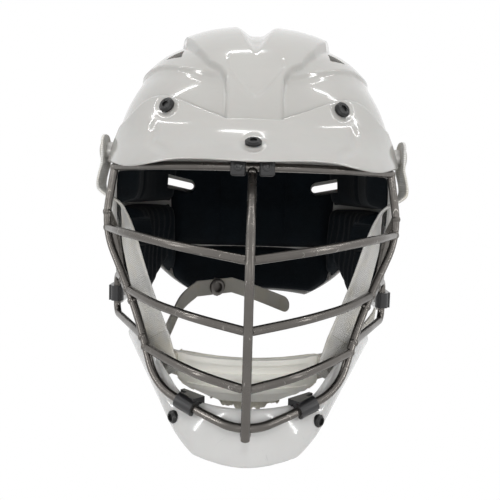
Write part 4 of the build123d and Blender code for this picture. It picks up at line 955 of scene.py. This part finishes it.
def cross_lines(cloth, places, width):
    """Stitch lines across a strap on both faces, at these rows."""
    _, middle, across, face = cloth
    lines = []
    for i in places:
        reach = across[i] * width * 0.42
        for side in (-1, 1):
            raised = middle[i] + face[i] * side * STRAP_THICK / 2
            lines.append((raised - reach, raised + reach, face[i] * side))
    return lines


def side_point(y, z, out):
    """Point beside the shell, this far out from its side."""
    share = share_at(np.array(z))
    reach, power = (FRONT, FRONT_POWER) if y < 0 else (BACK, BACK_POWER)
    half = HALF * share * (1 - min(abs(y) / (reach * share), 1) ** power) ** (1 / power)
    return np.array([float(half) + out, y, z])


thread = webbing("thread", (0.60, 0.57, 0.50), 0.8)
RIVET_TURN, RIVET_RADIUS, RIVET_Z = math.radians(45.5), 75, 45.94
HIGH_LIFT, LOW_LIFT = 4.1, 1.2
UP = np.array([0, 0, 1.0])
LEVEL = np.array([0, 1.0, 0])
MIRROR = np.array([-1, 1, 1.0])
# The right rivet of the cup: its axis, its place, and the way back along the cup's side.
normal = np.array([math.sin(RIVET_TURN), -math.cos(RIVET_TURN), 0])
rivet = np.array([0, CUP_AXIS_Y, RIVET_Z]) + normal * RIVET_RADIUS
back = unit(np.cross(UP, normal))

# High straps. White webbing 25 mm wide, sewn at both ends, from the cup's rivets past the cheeks
# to the snap sockets on the temples. Both are one form, drawn on the right and mirrored.
HIGH_PATH = [(76, -92.5, 95), (86.5, -83.5, 127), (91.5, -78.5, 145), (95.5, -76, 153), (108.8, -73, 163.5)]
white_webbing = webbing("white_webbing", (0.82, 0.81, 0.78))
start = rivet + normal * HIGH_LIFT
path = np.array(HIGH_PATH)
climb = path[0] - start
rising = unit(climb - normal * (climb @ normal))
low_across = unit(np.cross(rising, normal))
low_across = low_across * (1 if low_across @ np.cross(UP, normal) > 0 else -1)
turns = [0, 0.1, 0.25, 0.6, 0.8, 1.0, 1.0]
top = side_point(-72, 190, 6.8)
curve = [start + rising * 16, *path, top - UP * 9]
high_rows = [(start - rising * s, low_across, 1.0) for s in (9, 3)]
high_rows += [(start + rising * s, low_across, 1.0) for s in (3, 9)]
high_rows += rows_of(curve, [low_across * (1 - s) + LEVEL * s for s in turns])
high_rows += [(top + UP * s, LEVEL, 1.0) for s in (-4, 0, 5)] + tip(top + UP * 5, UP, LEVEL)
for side, word in ((MIRROR, "left"), (np.ones(3), "right")):
    rows = [(p * side, v * side, s) for p, v, s in high_rows]
    cloth = band(f"high_strap_cloth_{word}", rows, HIGH_WIDTH)
    settle(cloth[0], white_webbing, "chin_strap", [f"high_strap_{word}"])
    sewn = cross_lines(cloth, [1, 6, 60, len(rows) - 12], HIGH_WIDTH)
    stitches(f"high_strap_stitches_{word}", sewn, thread, "chin_strap")

# Low strap on the left. Grey-beige webbing 15 mm wide, lying unfastened back in the helmet with its
# buckle on it: a ring of plated metal with two bars beside the strap and a disc behind it.
LEFT_ROUTE = [(-69.0, -80, 44), (-67, -58, 45), (-65, -15, 52), (-61, 28, 63), (-50, 58, 71.5)]
LEFT_TAIL = [(-18, 84, 72.5), (4, 80, 66.5), (32, 62.5, 59)]
BUCKLE_PLACE = 0.53
beige_webbing = webbing("beige_webbing", (0.76, 0.73, 0.66), 1.1)
start = (rivet + normal * LOW_LIFT) * MIRROR
away = back * MIRROR
route = [start + away * 15] + [np.array(p) for p in LEFT_ROUTE]
tail = [np.array(p, float) for p in LEFT_TAIL]
rows = [(start + away * s, UP, 1.0) for s in (-9, 0, 8)] + rows_of(route, [UP] * 6)
rows += rows_of(tail, [UP] * 3)
rows += tip(tail[-1], unit(tail[-1] - tail[-2]), UP)
cloth = band("low_strap_cloth_left", rows, LOW_WIDTH)
run = unit(tail[0] - route[-1])
off = unit(np.cross(run, UP))
dull_metal = worn_metal("dull_metal", (0.16, 0.15, 0.14), 0.36, 0.9, (0.45, 0.43, 0.4))

# Profiles of the buckle's turned pieces, as radius and height.
RING = [(7.8, -2.4), (8.3, -0.6), (8.1, 0.7), (7.2, 1.3), (5.6, 1.5), (4.6, 1.2), (4.3, 0.2), (4.2, -2.0),
        (1.6, -2.1)]
DISC = [(5.6, 0.0), (6.6, 0.3), (6.6, 1.3), (6.0, 1.6)]
BAR = [(0.7, 0), (0.9, 0.3), (0.9, 5.3), (0.7, 5.6)]
PIN = [(0.75, 0), (0.75, 2.3)]


def round_buckle(name, centre, face, across, body, replaced):
    """Ring on the face of the strap, bars beside the strap and a disc behind it."""
    bm = bmesh.new()
    turned_piece(bm, centre + face * 3.6, face, RING)
    rear = centre - face * 2.8
    turned_piece(bm, rear, face, DISC)
    for side in (-1, 1):
        turned_piece(bm, rear + across * side * 7.9 + face * 0.6, face, BAR, 12)
        turned_piece(bm, rear + across * side * 5.6 + face * 0.8, across * side, PIN, 12)
    settle(piece_of(name, bm), dull_metal, body, [replaced])


centre = route[-1] + (tail[0] - route[-1]) * BUCKLE_PLACE
round_buckle("low_buckle_ring_left", centre, off, UP, "low_buckle", "low_buckle_left")
settle(cloth[0], beige_webbing, "low_strap", ["low_strap_left"])
sewn = cross_lines(cloth, [1, 2, len(rows) - 12], LOW_WIDTH)
stitches("low_strap_stitches_left", sewn, thread, "low_strap")

# Low strap on the right. The same webbing, fastened: it runs under the ear flap to its buckle,
# which is snapped on behind the arch. It runs from the moving cup to that fixed buckle and moves with
# neither.
RIGHT_ROUTE = [(71.0, -80, 44), (82, -46, 46), (97, -14, 52), (107.5, 6, 60), (112.5, 22, 73.5)]
SNAP_Y, SNAP_Z = 42, 96
# Heights of stud and buckle under the strap, and half of the strap itself.
SNAP_STACK = [5.2, 0.4, 2.4, 1.2, 0.3, STRAP_THICK / 2]
end = side_point(SNAP_Y, SNAP_Z, sum(SNAP_STACK))
start = rivet + normal * LOW_LIFT
path = np.array(RIGHT_ROUTE)
onward = unit((end - path[-1]) * [0, 1, 1])
last_across = np.array([0, -onward[2], onward[1]])
turns = [0, 0, 0, 0.25, 0.5, 0.75, 1.0]
curve = [start + back * 15, *path, end - onward * 11]
rows = [(start + back * s, UP, 1.0) for s in (-9, 0, 8)]
rows += rows_of(curve, [UP * (1 - s) + last_across * s for s in turns])
rows += [(end + onward * s, last_across, 1.0) for s in (-6, 0, 6, 11)]
rows += tip(end + onward * 11, onward, last_across)
cloth = band("low_strap_cloth_right", rows, LOW_WIDTH)
settle(cloth[0], beige_webbing, None, ["low_strap_right"])
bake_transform(cloth[0])
outward = unit(end - side_point(SNAP_Y, SNAP_Z, 0.0))
aside = unit(np.cross(outward, onward))
round_buckle("low_buckle_ring_right", end, outward, aside, "helmet", "low_buckle_right")


# Studio. A white floor and surroundings, soft lamps above and low in front, narrow lamps for glints.
# The camera stands close in front at the height of the brow and looks down on the mask.
def seen_rays(tree):
    """1 for the rays that see the white background: from the camera, mirrored or through glass."""
    path = node(tree, "ShaderNodeLightPath")
    seen = path.outputs["Is Camera Ray"]
    for kind in ("Is Glossy Ray", "Is Transmission Ray"):
        either = node(tree, "ShaderNodeMath", {0: seen, 1: path.outputs[kind]}, operation="MAXIMUM")
        seen = either.outputs[0]
    return seen


FLOOR_HALF = 6
corners = [(FLOOR_HALF * x, FLOOR_HALF * y, 0) for x, y in ((-1, -1), (1, -1), (1, 1), (-1, 1))]
floor_mesh = bpy.data.meshes.new("floor")
floor_mesh.from_pydata(corners, [], [(0, 1, 2, 3)])
floor = linked("floor", floor_mesh, smooth_shade=False)
mat, tree, bsdf = material("floor_white")
fill(tree, bsdf, {"Base Color": (0.75, 0.75, 0.75, 1), "Roughness": 0.8})
glow = node(tree, "ShaderNodeEmission", {"Color": (1, 1, 1, 1), "Strength": 1.0})
mix = node(tree, "ShaderNodeMixShader", {0: seen_rays(tree), 1: bsdf.outputs[0], 2: glow.outputs[0]})
material_output = [n for n in tree.nodes if n.type == "OUTPUT_MATERIAL"][0]
tree.links.new(mix.outputs[0], material_output.inputs[0])
floor_mesh.materials.append(mat)

world = bpy.data.worlds.new("studio")
scene.world = world
world.use_nodes = True
world_tree = world.node_tree
world_tree.nodes.clear()
soft = node(world_tree, "ShaderNodeBackground", {"Color": (0.97, 0.98, 1.0, 1), "Strength": 0.25})
plain = node(world_tree, "ShaderNodeBackground", {"Color": (1, 1, 1, 1), "Strength": 1.0})
mix = node(world_tree, "ShaderNodeMixShader",
           {0: seen_rays(world_tree), 1: soft.outputs[0], 2: plain.outputs[0]})
node(world_tree, "ShaderNodeOutputWorld", {0: mix.outputs[0]})


def lamp(name, place, target, size, power, shown=True):
    """Area lamp aimed at a target; it is mirrored in glossy faces only where it is shown."""
    data = bpy.data.lights.new(name, "AREA")
    data.shape, data.size, data.size_y, data.energy = "RECTANGLE", size[0], size[1], power
    obj = placed(name, data)
    obj.location = place
    obj.visible_glossy = shown
    obj.rotation_euler = (Vector(target) - Vector(place)).to_track_quat("-Z", "Y").to_euler()


lamp("key", (0.06, -0.72, 1.15), (0, -0.05, 0.2), (0.17, 0.03), 2.0, shown=False)
lamp("bar", (-0.08, 0.38, 1.3), (0, 0, 0.2), (0.24, 0.045), 0.9)
lamp("front", (0.0, -1.25, 0.55), (0, 0, 0.15), (0.8, 0.035), 1.4)
lamp("top", (0.0, -0.2, 1.3), (0, 0, 0.2), (0.7, 0.5), 4.4, shown=False)
lamp("low", (0.0, -1.2, 0.1), (0, -0.1, 0.1), (0.9, 0.5), 5.6, shown=False)
for side in (-1, 1):
    lamp("low_strip", (1.1 * side, -0.55, 0.55), (0, 0, 0.15), (0.06, 0.7), 2.2)
    lamp("high_strip", (0.85 * side, 0.1, 1.1), (0, 0, 0.2), (0.032, 0.8), 1.7)

# Place in the level helmet, and turns from the outermost to the first.
CAMERA_PLACE = [0.58, -527.45, 161.06]
CAMERA_ANGLES = [(0.13, "Z"), (-5.01, "X"), (-1.58, "Y"), (90, "X")]
camera_data = bpy.data.cameras.new("camera")
camera_data.lens, camera_data.sensor_width = 45.0, 36.0
camera = placed("camera", camera_data)
aim = Matrix.Rotation(-tilt, 4, "X")
for degrees, axis in CAMERA_ANGLES:
    aim = aim @ Matrix.Rotation(math.radians(degrees), 4, axis)
camera.matrix_world = Matrix.Translation(Vector(stood(CAMERA_PLACE))) @ aim
scene.camera = camera
scene.render.resolution_x = scene.render.resolution_y = 500
scene.view_settings.view_transform = "Standard"
